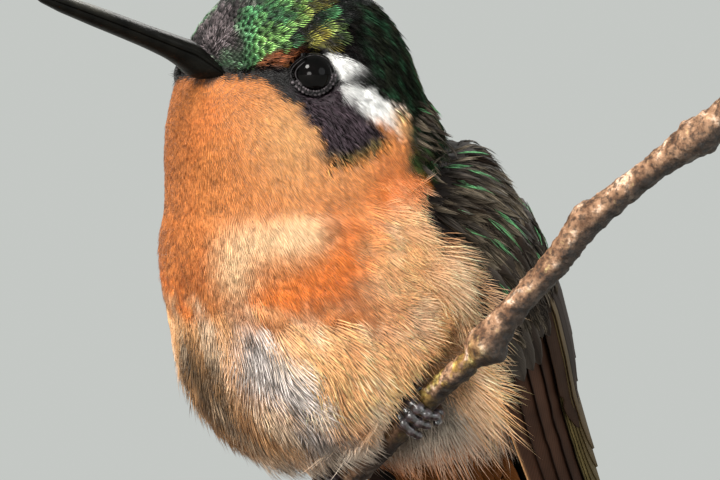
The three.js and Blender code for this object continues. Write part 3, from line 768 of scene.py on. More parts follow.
def coat_depth(places):
    """How deep the feathers are, in millimetres, and how far the face draws in beside the bill."""
    height = places[:, 2]
    _, angle = round_body(places)
    depth = 0.3 + 0.35 * smooth(9, 1, height) + 0.5 * smooth(-2, -9, height)
    depth = np.where((angle > 86) & (height < 8), 0.6, depth)
    for gape in GAPES:
        depth = depth + GAPE_DEPTH * blob(places, gape, (2.2, 2.2, 1.9))
    return depth


def under_shade(places):
    """Painted shade on the skin under the feathers: how much darker it is than its feathers, less on the
    throat than on the crown and the belly.
    """
    around, up = head_angles(places)
    shade = 0.66 - 0.32 * smooth(-2, -8, places[:, 2])
    return shade * (1 - 0.88 * crown_share(places, around, up))


def make_skin():
    skin = copy_of_nodes("plumage_skin", ["head", "neck", "torso"], SKIN_VOXEL, SKIN_SMOOTHING)
    bird = to_bird(vertex_arrays(skin.data)[0])
    pushed(skin, -coat_depth(bird))
    # The skin's tint carries painted shade, darker than the plumage over it.
    set_tint(skin.data, plumage(bird) * under_shade(bird)[:, None])
    finish_piece(skin, DOWN_SKIN, "belly_feathers")
    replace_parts(skin, "head", "neck", "torso")
    return skin


skin = make_skin()
skin_tree = solid_tree(skin)


# Eyes and lids
EYE_RADIUS = 2.0
LID_FOLDS = [(1.47, 0.055, 0.06, 1.3), (1.8, 0.13, 0.05, 1.02), (1.98, 0.1, 0.02, 0.82)]
LID_BEAD_ROWS = [(18, 1.62, 1.23, 0.13), (14, 1.93, 0.9, 0.19)]
BEAD_START = 0.4
BEAD_SWEEP = 2.9
WRINKLED_FROM = 1.6
CORNER_REACH = 0.2
CORNER_SPREAD = 0.5
HEAD_AHEAD = np.array([math.cos(HEAD_YAW), math.sin(HEAD_YAW), 0.0])
HEAD_LEFT = np.array([-math.sin(HEAD_YAW), math.cos(HEAD_YAW), 0.0])


def make_eye(side):
    centre, _ = eye_frame(side)
    bpy.ops.mesh.primitive_uv_sphere_add(
        segments=64, ring_count=32, radius=EYE_RADIUS * MM, location=tuple(centre)
    )
    eye = bpy.context.active_object
    eye.name = f"eyeball_{side}"
    apply_place()
    eye.select_set(False)
    finish_piece(eye, EYE_GLOSS, "eye")
    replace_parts(eye, f"eye_{side}")


def joined(pieces, name, turned):
    """Some pieces as one object, turned and moved to its place."""
    bpy.ops.object.select_all(action="DESELECT")
    for piece in pieces:
        piece.select_set(True)
    bpy.context.view_layer.objects.active = pieces[0]
    apply_place()
    bpy.ops.object.join()
    piece = bpy.context.active_object
    piece.name = name
    piece.data.transform(turned)
    piece.select_set(False)
    return piece


def lid_reach(way):
    """How far the lid's edge reaches out at an angle: it draws out to a corner ahead of the eye."""
    ahead = np.abs(np.arctan2(np.sin(way), np.cos(way)))
    return 1 + CORNER_REACH * np.exp(-((ahead / CORNER_SPREAD) ** 2)) - 0.05 * np.abs(np.sin(way))


def lid_fold(low_side, major, thick_low, thick_high, height):
    """A ring of skin round the eye, thickest below it and wrinkled where it is wide."""
    bpy.ops.mesh.primitive_torus_add(
        major_radius=major, minor_radius=1, major_segments=96, minor_segments=12, location=(0, 0, 0)
    )
    fold = bpy.context.active_object
    places, _ = vertex_arrays(fold.data)
    way = np.arctan2(places[:, 1], places[:, 0])
    minor = thick_high + (thick_low - thick_high) * smooth(-0.2, 0.9, low_side * np.sin(way))
    across = np.hypot(places[:, 0], places[:, 1]) - major
    wrinkle = 1 + 0.3 * np.cos(way * 27 + major * 9) * (major > WRINKLED_FROM)
    radius = major * lid_reach(way) + across * minor * wrinkle
    lowered = height + places[:, 2] * minor * wrinkle - 0.5 * (lid_reach(way) - 1)
    move_points(fold.data, np.stack([radius * np.cos(way), radius * np.sin(way), lowered], 1) * MM)
    return fold


def make_lids(side):
    """Folds of wrinkled skin round the eye, with rows of small beads along the lower edge."""
    centre, outward = eye_frame(side)
    forward = BIRD_TO_STAND @ HEAD_AHEAD
    ahead = unit(forward - outward * (forward @ outward))
    above = np.cross(outward, ahead)
    turned = Matrix.Translation(Vector(centre)) @ Matrix((ahead, above, outward)).transposed().to_4x4()
    low_side = -1 if above[2] > 0 else 1
    folds = [lid_fold(low_side, *sizes) for sizes in LID_FOLDS]
    beads = []
    for count, row_reach, height, size in LID_BEAD_ROWS:
        for index in range(count):
            way = low_side * (BEAD_START + BEAD_SWEEP * index / count)
            reach = row_reach * float(lid_reach(way))
            spot = (reach * math.cos(way) * MM, reach * math.sin(way) * MM, height * MM)
            bpy.ops.mesh.primitive_ico_sphere_add(subdivisions=2, radius=size * MM, location=spot)
            beads.append(bpy.context.active_object)
    finish_piece(joined(folds, f"lids_{side}", turned), LID_SKIN, "eye")
    finish_piece(joined(beads, f"lid_beads_{side}", turned), LID_BEAD, "eye")


for side_name in SIDES:
    make_eye(side_name)
    make_lids(side_name)


# Bill
BILL_LENGTH = 19.2
BILL_PITCH = math.radians(16.4)
BILL_DEPTH = 2.45
BILL_WIDTH = 2.7
BILL_AXIS = HEAD_AHEAD * math.cos(BILL_PITCH) + np.array([0, 0, math.sin(BILL_PITCH)])
BILL_UP = np.cross(BILL_AXIS, HEAD_LEFT)
BILL_TAPER = [(-0.3, 1.12), (0, 1), (0.3, 0.8), (0.62, 0.72), (0.82, 0.6), (0.94, 0.4), (1, 0.1)]
# How much lighter the painted highlight along the bill's top is.
BILL_SHINE = 22.0
BILL_ROOT = -5.6
BILL_DROP = 0.26
BILL_DROOP = 0.45
BILL_ARC = 20
MOUTH = -0.16
PARTING = 0.045


def bill_size(share):
    return along_line(BILL_TAPER, share)


def on_bill(along, side, up):
    """A place on the bill, given along it, to its left and above its axis, which droops a little."""
    share = np.maximum(0, along / BILL_LENGTH)
    droop = BILL_DROOP * (share - share**2) - BILL_DROP * np.maximum(0, 0.5 - along)
    return BILL_BASE + BILL_AXIS * along + HEAD_LEFT * side + BILL_UP * (up + droop)


def bill_half(along):
    """Half the bill's width and half its depth. The depth runs out to a wedge in the corner of the mouth."""
    size = bill_size(along / BILL_LENGTH)
    flange = 1 + 0.44 * smooth(2.6, -2.6, along)
    wedge = 0.22 + 0.78 * smooth(-4.6, 0.4, along)
    return BILL_WIDTH / 2 * size * flange, BILL_DEPTH / 2 * size * wedge


def make_bill(name, upper):
    """One half of the bill: a long tapering shell, rounded outside and flat where the halves meet."""
    stations = np.concatenate([np.linspace(BILL_ROOT, 14, 44), np.linspace(14.4, BILL_LENGTH, 20)])
    vertices, shine = [], []
    for along in stations:
        half_wide, half_deep = bill_half(along)
        level = MOUTH * bill_size(along / BILL_LENGTH)
        for angle in np.arange(BILL_ARC + 1) * math.pi / BILL_ARC:
            across, rise = math.cos(angle), math.sin(angle)
            if upper:
                ridge = 1 + 0.5 * max(0.0, rise - 0.9)
                height = level + PARTING + (half_deep * ridge - level) * rise
                groove = 0.1 * math.exp(-(((rise - 0.45) / 0.14) ** 2)) * smooth(7.5, 3.5, along)
                reach = half_wide * (1 - 0.9 * groove)
            else:
                jaw = 0.94 + 0.34 * math.exp(-(((along + 0.6) / 2.2) ** 2))
                height = level - PARTING - (half_deep * jaw + level) * rise
                reach = half_wide * 0.97
            vertices.append(on_bill(along, reach * across, height))
            # Painted highlight: the upper half's tint is lighter along its top towards the tip.
            shine.append(upper * max(0.0, rise) ** 2 * smooth(9.5, 12, along) * smooth(17, 15, along))
    faces = tube_faces(len(stations), BILL_ARC + 1)
    tint = mix(flat(np.ones(3), len(shine)), BILL_SHINE, shine)
    piece = mesh_piece(name, to_stand(vertices), faces, BILL_HORN, "bill", tint)
    face_outwards(piece.data)
    return piece


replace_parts(make_bill("bill_upper_horn", True), "bill_upper")
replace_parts(make_bill("bill_lower_horn", False), "bill_lower")


# Twig
TWIG_VOXEL = 0.18
TWIG_SMOOTHING = 6
TWIG_KNOT = np.array([11.3, -13.0, -9.6])
KNOT_REACH = 5
TWIG_BUD = np.array([20.3, -16.3, 2.0])
TWIG_SCAR = np.array([30.6, -19.3, 9.3])
TWIG_ALONG = unit(np.array([8.6, -2.6, 9.3]))
LIT_SIDE = unit(np.array([-0.6, -0.35, 0.72]))
MOSS = np.array([0.9, 0.95, 0.4])


def bulge(distance, size):
    """1 at no distance, falling off over a size."""
    return np.exp(-((distance / size) ** 2))


def make_twig():
    """Ridged bark with a knot, a bud, a scar and some moss, with painted light and shade: lighter on the lit
    side and darker on the side away from the light.
    """
    twig = copy_of_nodes("twig_bark", ["twig"], TWIG_VOXEL, TWIG_SMOOTHING)
    places, normals = vertex_arrays(twig.data)
    bird = to_bird(places)
    near = places / MM - BIRD_PLACE
    lit = normals @ LIT_SIDE
    ridges = rough(bird, 1.1, 21) * 0.1 + rough(bird, 0.45, 22) * 0.06
    knot = near - TWIG_KNOT
    past = knot @ TWIG_ALONG
    swell = 0.3 * bulge(past, 1.5) + 0.5 * smooth(0.3, -0.8, lit) * bulge(past - 0.3, 0.9)
    swell = swell - 0.28 * bulge(past + 1.9, 0.55)
    budding = 0.75 * smooth(0.2, 0.9, lit) * np.exp(-np.sum((near - TWIG_BUD) ** 2, 1) / 2.2)
    scar = 0.3 * bulge((near - TWIG_SCAR) @ TWIG_ALONG, 1.2)
    close = np.linalg.norm(knot, axis=1) < KNOT_REACH
    pushed(twig, ridges + np.where(close, swell, 0) + budding + scar)
    # Painted light and shade: the tint runs from dark on the side away from the light to light on the lit
    # side, then moss over it.
    tint = np.repeat((0.1 + 1.25 * smooth(-0.3, 0.85, lit))[:, None], 3, 1)
    mossy = smooth(7.5, 4.5, np.abs(past + 6.5)) * smooth(-0.4, 0.3, rough(bird, 1.0, 23))
    set_tint(twig.data, mix(tint, (tint + 0.12) * MOSS, mossy))
    finish_piece(twig, BARK, "bark")
    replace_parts(twig, "twig")
    return twig


# Feet
GRIPS = {"left": np.array([5.3, -8.4, -15.5]), "right": np.array([-1.6, -1.9, -22.5])}
GRIPPED_AXIS = unit(np.array([4.3, -4.0, 4.6]))
FOOT_VOXEL = 0.085
FOOT_SMOOTHING = 4
FOOT_SWELL = 0.3
SCUTE = 0.85
SCUTE_RELIEF = 0.035
WRAP_RADIUS = 2.6
SCUTES_ROUND = 1.9
FOOT_DARK = paint(8, 7, 8)
FOOT_PALE = paint(54, 46, 50)


def make_foot(side):
    """Toes thickened a little and ringed with scutes across their length."""
    foot = copy_of_nodes(f"toes_{side}", [f"foot_{side}"], FOOT_VOXEL, FOOT_SMOOTHING)
    near = vertex_arrays(foot.data)[0] / MM - BIRD_PLACE - GRIPS[side]
    away = near - (near @ GRIPPED_AXIS)[:, None] * GRIPPED_AXIS
    radius = np.linalg.norm(away, axis=1)
    first = unit(np.cross(GRIPPED_AXIS, (0, 0, 1)))
    wrap = np.arctan2(away @ np.cross(GRIPPED_AXIS, first), away @ first)
    phase = np.where(radius < WRAP_RADIUS, wrap * SCUTES_ROUND, radius) * 2 * math.pi / SCUTE
    scutes = np.cos(phase)
    pushed(foot, FOOT_SWELL + SCUTE_RELIEF * scutes)
    set_tint(foot.data, mix(flat(FOOT_DARK, len(near)), FOOT_PALE, smooth(-0.95, -0.1, scutes)))
    finish_piece(foot, FOOT_SCALES, "foot")
    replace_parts(foot, f"foot_{side}")
    return foot


CLEAR_OF = [solid_tree(make_twig())] + [solid_tree(make_foot(side_name)) for side_name in SIDES]


# Wings and tail
WING_GIRTHS = [
    (-11, 8.4), (-6, 10.1), (-1, 11.9), (3.5, 12.5), (9, 12.4), (13, 12.1), (17, 11.4), (21, 10.5), (26, 9.8),
    (31, 9.2), (50, 7.3),
]
WRIST = -9
WING_LENGTH = 58
WEB_THICKNESS = 0.09


def beside_body(side):
    """A place on the form that the folded wings lie on."""
    stations, girths = zip(*WING_GIRTHS)

    def place(down, degrees_round, lift, shift):
        girth = np.interp(down, stations, girths)
        angle = np.radians(degrees_round) + shift / girth
        radius = girth + lift
        return (
            WING_ORIGIN
            + WING_AXIS * down[..., None]
            + WING_FRONT * (radius * np.cos(angle))[..., None]
            + np.array([0.0, side, 0.0]) * (radius * np.sin(angle))[..., None]
        )

    return place


def web(place, root, tip, width, lift, tilt, outline, tint, edge_tint, draw, stations=34, columns=16,
        painted_shadow_to=None, rear_tint=None, edge_power=6, dive=0.0, wear=1.0):
    """One long feather as a closed thin web with a raised shaft. Returns its points, quads, tints and map."""
    along = np.linspace(0, 1, stations + 1)[:, None]
    across = np.sin(np.linspace(-1, 1, columns + 1) * math.pi / 2)
    out = np.abs(across) * np.ones_like(along)
    half = along_line(outline, along) * width / 2
    frayed = 0.05 * draw.random(along.shape)
    frayed = wear * (frayed + 0.3 * (draw.random(along.shape) > 0.94) * (along > 0.3))
    down = root[0] + (tip[0] - root[0]) * along - out * 0.35 * half
    angle = (root[1] + (tip[1] - root[1]) * along) * np.ones_like(out)
    shift = across * half * (1 - frayed * out**4)
    shaft = 0.1 * np.exp(-((across / 0.16) ** 2)) * (1 - 0.7 * along)
    level = lift + tilt * across * half / (width / 2) + shaft - 0.1 * across**2
    level = level - dive * smooth(0.25, 0.0, along)
    both_faces = (place(down, angle, level + raised, shift) for raised in (WEB_THICKNESS, 0))
    points = np.concatenate([face.reshape(-1, 3) for face in both_faces])
    edge = out**edge_power
    rear = (across > 0) * edge
    rear_tint = edge_tint if rear_tint is None else rear_tint
    sides = ((edge_tint, (edge - rear).ravel() * 0.9), (rear_tint, rear.ravel() * 0.9))
    bright = 1 - 0.35 * np.exp(-((out / 0.12) ** 2))
    # Painted shadow: darker towards the part of the web that the next feather lies over.
    if painted_shadow_to is not None:
        limit = painted_shadow_to[0] + (painted_shadow_to[1] - painted_shadow_to[0]) * along
        bright = bright * (1 - 0.85 * smooth(limit - 0.22, limit, across))
    colour = layered(flat(tint, edge.size), *sides) * bright.ravel()[:, None]
    uv = np.stack([(across + 1) / 2 * np.ones_like(along), down], -1).reshape(-1, 2)
    return points, sheet_faces(stations, columns), np.concatenate([colour, colour * 0.7]), np.tile(uv, (2, 1))


def set_map(mesh, name, rows):
    layer = mesh.uv_layers.new(name=name)
    layer.data.foreach_set("uv", rows.astype(np.float32).ravel())


def join_webs(name, webs, slot, replaced):
    """Some webs as one piece in place of a CAD node."""
    offsets = np.cumsum([0] + [len(points) for points, _, _, _ in webs])
    points, faces, colours, maps = zip(*webs)
    faces = np.concatenate([rows + offset for rows, offset in zip(faces, offsets)])
    places = to_stand(np.concatenate(points))
    piece = mesh_piece(name, places, faces, FLIGHT_FEATHER, slot, np.concatenate(colours))
    set_map(piece.data, "web", np.concatenate(maps)[faces.ravel()])
    face_outwards(piece.data)
    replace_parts(piece, replaced)
    return piece


LONG_OUTLINE = [(0, 0.5), (0.12, 0.8), (0.4, 1), (0.7, 0.95), (0.88, 0.72), (0.96, 0.45), (1, 0.08)]
ROUND_OUTLINE = [(0, 0.5), (0.2, 0.85), (0.55, 1), (0.8, 0.9), (0.93, 0.6), (1, 0.1)]

PRIMARIES = 10
PRIMARY_WIDTH = 4.3
SPREAD_PRIMARIES = 4
SECONDARIES = 6
SECONDARY_WIDTH = 3.4
GREAT_COVERTS = 12
GREAT_COVERT_WIDTH = 2.2
BED_VOXEL = 0.55
BED_SMOOTHING = 3
BED_SWELLS = 3
BED_SWELL = 0.8
BED_END = 9.0


def make_wing_bed():
    """The rounded shoulders under the coverts: back and wings swollen together, drawn in and cut off."""
    bed = copy_of_nodes("wing_bed", ["torso", "wing_left", "wing_right"], BED_VOXEL, BED_SMOOTHING - 1)
    for depth in [BED_SWELL] * BED_SWELLS + [-BED_SWELL] * BED_SWELLS:
        pushed(bed, depth)
        remeshed(bed, BED_VOXEL, BED_SMOOTHING)
    bird = to_bird(vertex_arrays(bed.data)[0])
    down, angle = round_body(bird)
    before = smooth(-4, -14, angle - along_line(SHOULDER_LINE, down))
    pushed(bed, -(coat_depth(bird) + 0.1 + 1.5 * np.maximum(before, smooth(11, 13, bird[:, 2]))))
    shape = bmesh.new()
    shape.from_mesh(bed.data)
    end = Vector(to_stand([WING_ORIGIN + WING_AXIS * BED_END])[0])
    everything = shape.verts[:] + shape.edges[:] + shape.faces[:]
    facing = Vector(BIRD_TO_STAND @ WING_AXIS)
    bmesh.ops.bisect_plane(shape, geom=everything, plane_co=end, plane_no=facing, clear_outer=True)
    bmesh.ops.holes_fill(shape, edges=[edge for edge in shape.edges if edge.is_boundary])
    bmesh.ops.triangulate(shape, faces=shape.faces)
    shape.to_mesh(bed.data)
    shape.free()
    face_outwards(bed.data)
    # Painted shade: the bed under the coverts is tinted darker than the wing feathers.
    set_tint(bed.data, flat(WING_DARK * 0.4, len(bed.data.vertices)))
    finish_piece(bed, DOWN_SKIN, "wing_feathers")
    return bed


def make_wing(side_name, side):
    """Long primaries, most of them stacked, with shorter secondaries and great coverts over their roots."""
    draw = np.random.default_rng(40)
    place = beside_body(side)
    webs = []
    for index in range(PRIMARIES):
        spread = min(index, SPREAD_PRIMARIES)
        stacked = index - spread
        olive = 0.0 if index < SPREAD_PRIMARIES else 1.0 - 0.12 * stacked
        tint = mix(WING_BROWN, WING_OLIVE * 1.3, [olive])[0] * draw.uniform(0.8, 1.1)
        # The unstacked primaries' dark rear edges, and all but the first one's dark front edges, are painted
        # shadow lines between the feathers; the first one's buff front edge is its own colour.
        edge = BUFF * 0.8 if index == 0 else tint * 0.9 if stacked else WING_DARK * 0.15
        root = (WRIST + 8 + 0.45 * index, 80.5 + 9.4 * spread + 1.4 * stacked)
        tip = (WRIST + WING_LENGTH - 3 * index + 0.07 * index**2, 85 + 7.6 * spread + 1.0 * stacked)
        webs.append(web(
            place, root, tip, PRIMARY_WIDTH, 0.25 + 0.17 * index, -0.3, LONG_OUTLINE, tint, edge, draw,
            painted_shadow_to=None if olive else (0.2, -0.3), rear_tint=tint if stacked else WING_DARK * 0.2,
            edge_power=14 if index else 26, wear=0.15,
        ))
    for index in range(SECONDARIES):
        inward = index / (SECONDARIES - 1)
        root = (2 + 1.5 * inward, 116 + 26 * inward)
        tip = (24 - 8 * inward, 110 + 32 * inward)
        tint = WING_DARK * draw.uniform(0.6, 1.2)
        lift = 1.75 + 0.13 * index
        webs.append(web(
            place, root, tip, SECONDARY_WIDTH, lift, 0.3, ROUND_OUTLINE, tint, WING_DARK, draw, dive=1.6,
        ))
    for index in range(GREAT_COVERTS):
        inward = index / (GREAT_COVERTS - 1)
        tint = mix(COVERT_GREY, WING_DARK, [draw.random()])[0]
        lift = 1.3 + 0.9 * inward + 0.12 * (index % 2)
        tip = (14.5 - 3.5 * inward + draw.uniform(-1.2, 1.2), 84 + 62 * inward)
        webs.append(web(
            place, (1 + 1.5 * inward, 81 + 60 * inward), tip, GREAT_COVERT_WIDTH, lift, 0.35, LONG_OUTLINE,
            tint * 0.55, COVERT_GREY * 0.8, draw, stations=26, columns=10, dive=lift + 0.4,
        ))
    return solid_tree(join_webs(f"wing_feathers_{side_name}", webs, "wing_feathers", f"wing_{side_name}"))


TAIL_OUTLINE = [(0, 0.5), (0.2, 0.85), (0.55, 1), (0.88, 1), (0.96, 0.85), (1, 0.45)]
TAIL_ROOT = np.array([-11.5, 0.0, -16.5])
TAIL_PITCH = math.radians(57)
TAIL_LENGTH = 31
TAIL_SPREAD = 8.5
TAIL_PAIRS = 5
TAIL_WIDTH = 5.2
TAIL_COVERTS = 9
TAIL_COVERT_WIDTH = 4.4
TAIL_AXIS = np.array([-math.cos(TAIL_PITCH), 0.0, -math.sin(TAIL_PITCH)])
TAIL_BACK = np.array([-math.sin(TAIL_PITCH), 0.0, math.cos(TAIL_PITCH)])
LEFTWARD = np.array([0, 1.0, 0])


def on_tail(along, spread_degrees, lift, shift):
    """A place on the fanned tail, where feathers spread from one root."""
    spread = np.radians(spread_degrees)
    direction = TAIL_AXIS * np.cos(spread)[..., None] + LEFTWARD * np.sin(spread)[..., None]
    across = LEFTWARD * np.cos(spread)[..., None] - TAIL_AXIS * np.sin(spread)[..., None]
    return TAIL_ROOT + direction * along[..., None] + across * shift[..., None] + TAIL_BACK * lift[..., None]


def on_rump(along, sideways, lift, shift):
    """A place on the coverts over and under the tail, whose roots lie side by side."""
    across = LEFTWARD * (sideways + shift)[..., None]
    return TAIL_ROOT + TAIL_AXIS * along[..., None] + across + TAIL_BACK * lift[..., None]


def make_tail():
    draw = np.random.default_rng(60)
    webs = []
    for pair in range(TAIL_PAIRS):
        for side in SIDES.values():
            outward = side * (pair + 0.35) / (TAIL_PAIRS - 0.65)
            spread = TAIL_SPREAD * outward
            green = mix(BACK_GREEN, WING_DARK, [0.75 + 0.06 * pair])[0]
            lift = -0.34 * pair + (0.1 if side > 0 else 0)
            tip = (TAIL_LENGTH + 1.2 * abs(outward), spread)
            webs.append(web(
                on_tail, (0, spread), tip, TAIL_WIDTH, lift, -0.25 * side, TAIL_OUTLINE, green, WING_BROWN,
                draw,
            ))
    above = mix(BACK_GREEN, BACK_BRONZE, [0.6])[0] * 0.8
    for face, tone in ((1, above), (-1, UNDERTAIL * 0.3)):
        for index in range(TAIL_COVERTS):
            outward = 2 * index / (TAIL_COVERTS - 1) - 1
            lift = (0.75 if face > 0 else -2.2) + 0.1 * index - 0.5 * face * outward**2
            reach = 11 if face > 0 else 14 - 3 * abs(outward)
            webs.append(web(
                on_rump, (-1.5, 4.2 * outward), (reach, 5.4 * outward), TAIL_COVERT_WIDTH, lift, 0.15,
                ROUND_OUTLINE, tone * draw.uniform(0.75, 1.15), tone * 1.3, draw, stations=20,
            ))
    join_webs("tail_feathers_all", webs, "tail_feathers", "tail")


BED_TREE = solid_tree(make_wing_bed())
WING_TREES = {side_name: make_wing(side_name, side) for side_name, side in SIDES.items()}
make_tail()


# Small feathers: how they lie, how long they are and where their roots are
def lie(places, normals):
    """The direction in which the feathers lie, along the skin from the bill to the tail."""
    from_bill = unit(places - BILL_BASE)
    down, angle = round_body(places)
    away = places - WING_ORIGIN - down[:, None] * WING_AXIS
    backward = unit(np.cross(WING_AXIS, away)) * -np.sign(places[:, 1])[:, None]
    backward = backward * np.sign(np.sum(backward * -WING_FRONT, 1))[:, None]
    turn_back = np.interp(angle, [0, 15, 40, 60, 78, 92, 180], [0, 0.12, 0.38, 0.62, 0.66, 0.2, 0])
    turn_back = turn_back * smooth(9, 2, places[:, 2])
    turn_back = turn_back * (1 - 0.6 * smooth(9, 14, down) * smooth(78, 62, angle))
    turn_back = turn_back * (1 - smooth(12, 14, down) * np.interp(angle, [58, 68], [0.85, 0.72]))
    over_body = unit(WING_AXIS + turn_back[:, None] * backward)
    share = smooth(9.5, 17.0, np.linalg.norm(places - BILL_BASE, axis=1))
    return laid_flat(mix(from_bill, over_body, share), normals)


def skin_samples(spacing_of, seed):
    """Roots spread evenly over the skin, a given spacing apart, with the skin's normal at each."""
    draw = np.random.default_rng(seed)
    mesh = skin.data
    mesh.calc_loop_triangles()
    corners = np.empty(len(mesh.loop_triangles) * 3, np.int32)
    mesh.loop_triangles.foreach_get("vertices", corners)
    corners = corners.reshape(-1, 3)
    places, normals = vertex_arrays(mesh)
    bird = to_bird(places)
    turned = normals @ BIRD_TO_STAND
    a, b, c = (bird[corners[:, index]] for index in range(3))
    area = np.linalg.norm(np.cross(b - a, c - a), axis=1) / 2
    middle_spacing = spacing_of((a + b + c) / 3)
    wanted = area / middle_spacing**2 * 2.6
    wanted[~np.isfinite(wanted)] = 0
    count = int(wanted.sum())
    chosen = draw.choice(len(area), count, p=wanted / wanted.sum())
    first = np.sqrt(draw.random(count))
    second = draw.random(count)
    weights = np.stack([1 - first, first * (1 - second), first * second], 1)
    roots = sum(weights[:, index, None] * bird[corners[chosen, index]] for index in range(3))
    ways = unit(sum(weights[:, index, None] * turned[corners[chosen, index]] for index in range(3)))
    spacing = spacing_of(roots)
    kept = thin_out(roots, spacing)
    return roots[kept], ways[kept]


def thin_out(places, spacing):
    """Indices of places of which no two are closer than their spacing."""
    cell = float(np.max(spacing[np.isfinite(spacing)]))
    grid = {}
    kept = []
    steps = [(i, j, k) for i in (-1, 0, 1) for j in (-1, 0, 1) for k in (-1, 0, 1)]
    for index, (x, y, z) in enumerate(np.floor(places / cell).astype(int)):
        if not math.isfinite(spacing[index]):
            continue
        place = places[index]
        limit = spacing[index] ** 2
        near = (other for i, j, k in steps for other in grid.get((x + i, y + j, z + k), ()))
        if all(sum((here - there) ** 2 for here, there in zip(place, other)) >= limit for other in near):
            grid.setdefault((x, y, z), []).append(place)
            kept.append(index)
    return np.array(kept)


BREAST_TOP = 2.5
BELLY_TOP = -6.5
FLANK_WIDTH = 11.5
HEAD_BOTTOM = 6
BACK_TOP = 12
NAPE_START = 98


def group_of(places):
    """Which kind of feather grows at each place."""
    height = places[:, 2]
    down, angle = round_body(places)
    around, up = head_angles(places)
    shoulder = along_line(SHOULDER_LINE, down)
    kind = np.full(len(places), "throat", dtype=object)
    kind[height < BREAST_TOP] = "breast"
    kind[height < BELLY_TOP - 0.1 * places[:, 1] + 1.6 * rough(places, 1.8, 3)] = "belly"
    kind[(np.abs(places[:, 1]) > FLANK_WIDTH) & (height < 3)] = "belly"
    kind[(angle > shoulder - 20) & (height < HEAD_BOTTOM) & (down < 15)] = "flank"
    kind[((angle < 70) & (down > 10)) | ((angle < 80) & (down > 12.5))] = "vent"
    kind[(angle > shoulder) & (height < BACK_TOP)] = "back"
    on_head = height > HEAD_BOTTOM
    dark = along_line(DARK_EDGE, around)
    crown = along_line(CROWN_EDGE, around)
    kind[on_head & (up > dark - 2) & (up <= crown) & (around > 10)] = "face"
    for mark, name in ((CHEEK_MARK, "face"), (STRIPE_MARK, "stripe"), (SPOT_MARK, "stripe")):
        kind[on_head & within(np.stack([around, up], 1), mark, 1.0).astype(bool)] = name
    kind[on_head & (around >= NAPE_START) & (up > dark)] = "nape"
    kind[on_head & (up > crown) & (around < 150)] = "crown"
    kind[on_head & (up > 60)] = "crown"
    return kind


# Feather shapes. Each is a pattern of points along (0 to 1), across (-1 to 1) and up, with its faces.
def barbed_pattern(barbs, segments, reach, spread, thickness, seed, root_spread=0.0):
    """A small feather as thin three-sided barbs that branch off a short shaft or run abreast."""
    draw = np.random.default_rng(seed)
    points, faces, owner, outness = [], [], [], []
    for barb in range(barbs):
        share = barb / max(1, barbs - 1)
        fan = 2 * share - 1
        start = (0.5 * (1 - abs(fan)) * reach * (1 - root_spread), fan * root_spread)
        tip = (1.0 - 0.42 * abs(fan) ** 1.7 + draw.uniform(-0.05, 0.03), fan * spread)
        first = len(points)
        for segment in range(segments):
            along = segment / segments
            bow = math.sin(math.pi * along) * 0.16 * fan * (1 - root_spread)
            x = start[0] + (tip[0] - start[0]) * along
            y = start[1] + (tip[1] - start[1]) * along**0.85 + bow
            width = thickness * (1 - 0.45 * along)
            rise = 0.02 * (1 - abs(fan))
            points += [(x, y - width, rise), (x, y + width, rise), (x, y, rise + 1.0)]
            owner += [barb] * 3
            outness += [along] * 3
        points.append((tip[0], tip[1], 0.3))
        owner.append(barb)
        outness.append(1.0)
        faces.append((first, first + 1, first + 2))
        for segment in range(segments - 1):
            a = first + 3 * segment
            for corner in range(3):
                b = (corner + 1) % 3
                faces += [(a + corner, a + 3 + corner, a + b), (a + b, a + 3 + corner, a + 3 + b)]
        last = first + 3 * (segments - 1)
        end = first + 3 * segments
        faces += [(last, end, last + 1), (last + 1, end, last + 2), (last + 2, end, last)]
    return np.array(points), np.array(faces), np.array(owner), np.array(outness)


def plate_pattern(rows, columns, waist, point, dome):
    """A thin closed plate that widens from its root and rounds off, or runs to a point, at its tip."""
    top = []
    for row in range(rows + 1):
        along = row / rows
        rounding = math.sqrt(max(0.0, 1 - (max(0.0, along - waist) / (1.02 - waist)) ** 2)) ** point
        half = rounding * (0.5 + 0.5 * min(1, along / waist))
        for column in range(columns + 1):
            across = 2 * column / columns - 1
            top.append((along - 0.1 * across**2 * along, across * half, dome * (1 - across**2)))
    bottom = [(x, y, z - 0.5) for x, y, z in top]
    points = np.array(top + bottom)
    across = np.tile(np.linspace(-1, 1, columns + 1), 2 * (rows + 1))
    edge = np.maximum(np.abs(across) ** 2, smooth(0.55, 0.95, points[:, 0]))
    edge = np.maximum(edge, smooth(0.3, 0.0, points[:, 0]))
    triangles = sheet_faces(rows, columns)[:, [0, 1, 2, 0, 2, 3]].reshape(-1, 3)
    return points, triangles, np.zeros(len(points), int), edge


def skin_map(roots):
    """Each root's place on the unwrapped skin: round its spine, and along it from the belly to the crown."""
    axis = unit(SPINE_HIGH - SPINE_LOW)
    length = np.linalg.norm(SPINE_HIGH - SPINE_LOW)
    front = np.array([axis[2], 0, -axis[0]])
    along = (roots - SPINE_LOW) @ axis
    foot = SPINE_LOW + np.clip(along, 0, length)[:, None] * axis
    away = roots - foot
    u = np.arctan2(away[:, 1], away @ front) / (2 * math.pi) + 0.5
    tilt = np.arctan2(away @ axis, np.hypot(away[:, 1], away @ front))
    v = (np.clip(along, 0, length) + 11 * (tilt + math.pi / 2)) / (length + 11 * math.pi)
    return np.stack([0.02 + 0.96 * u, 0.02 + 0.96 * v], 1)


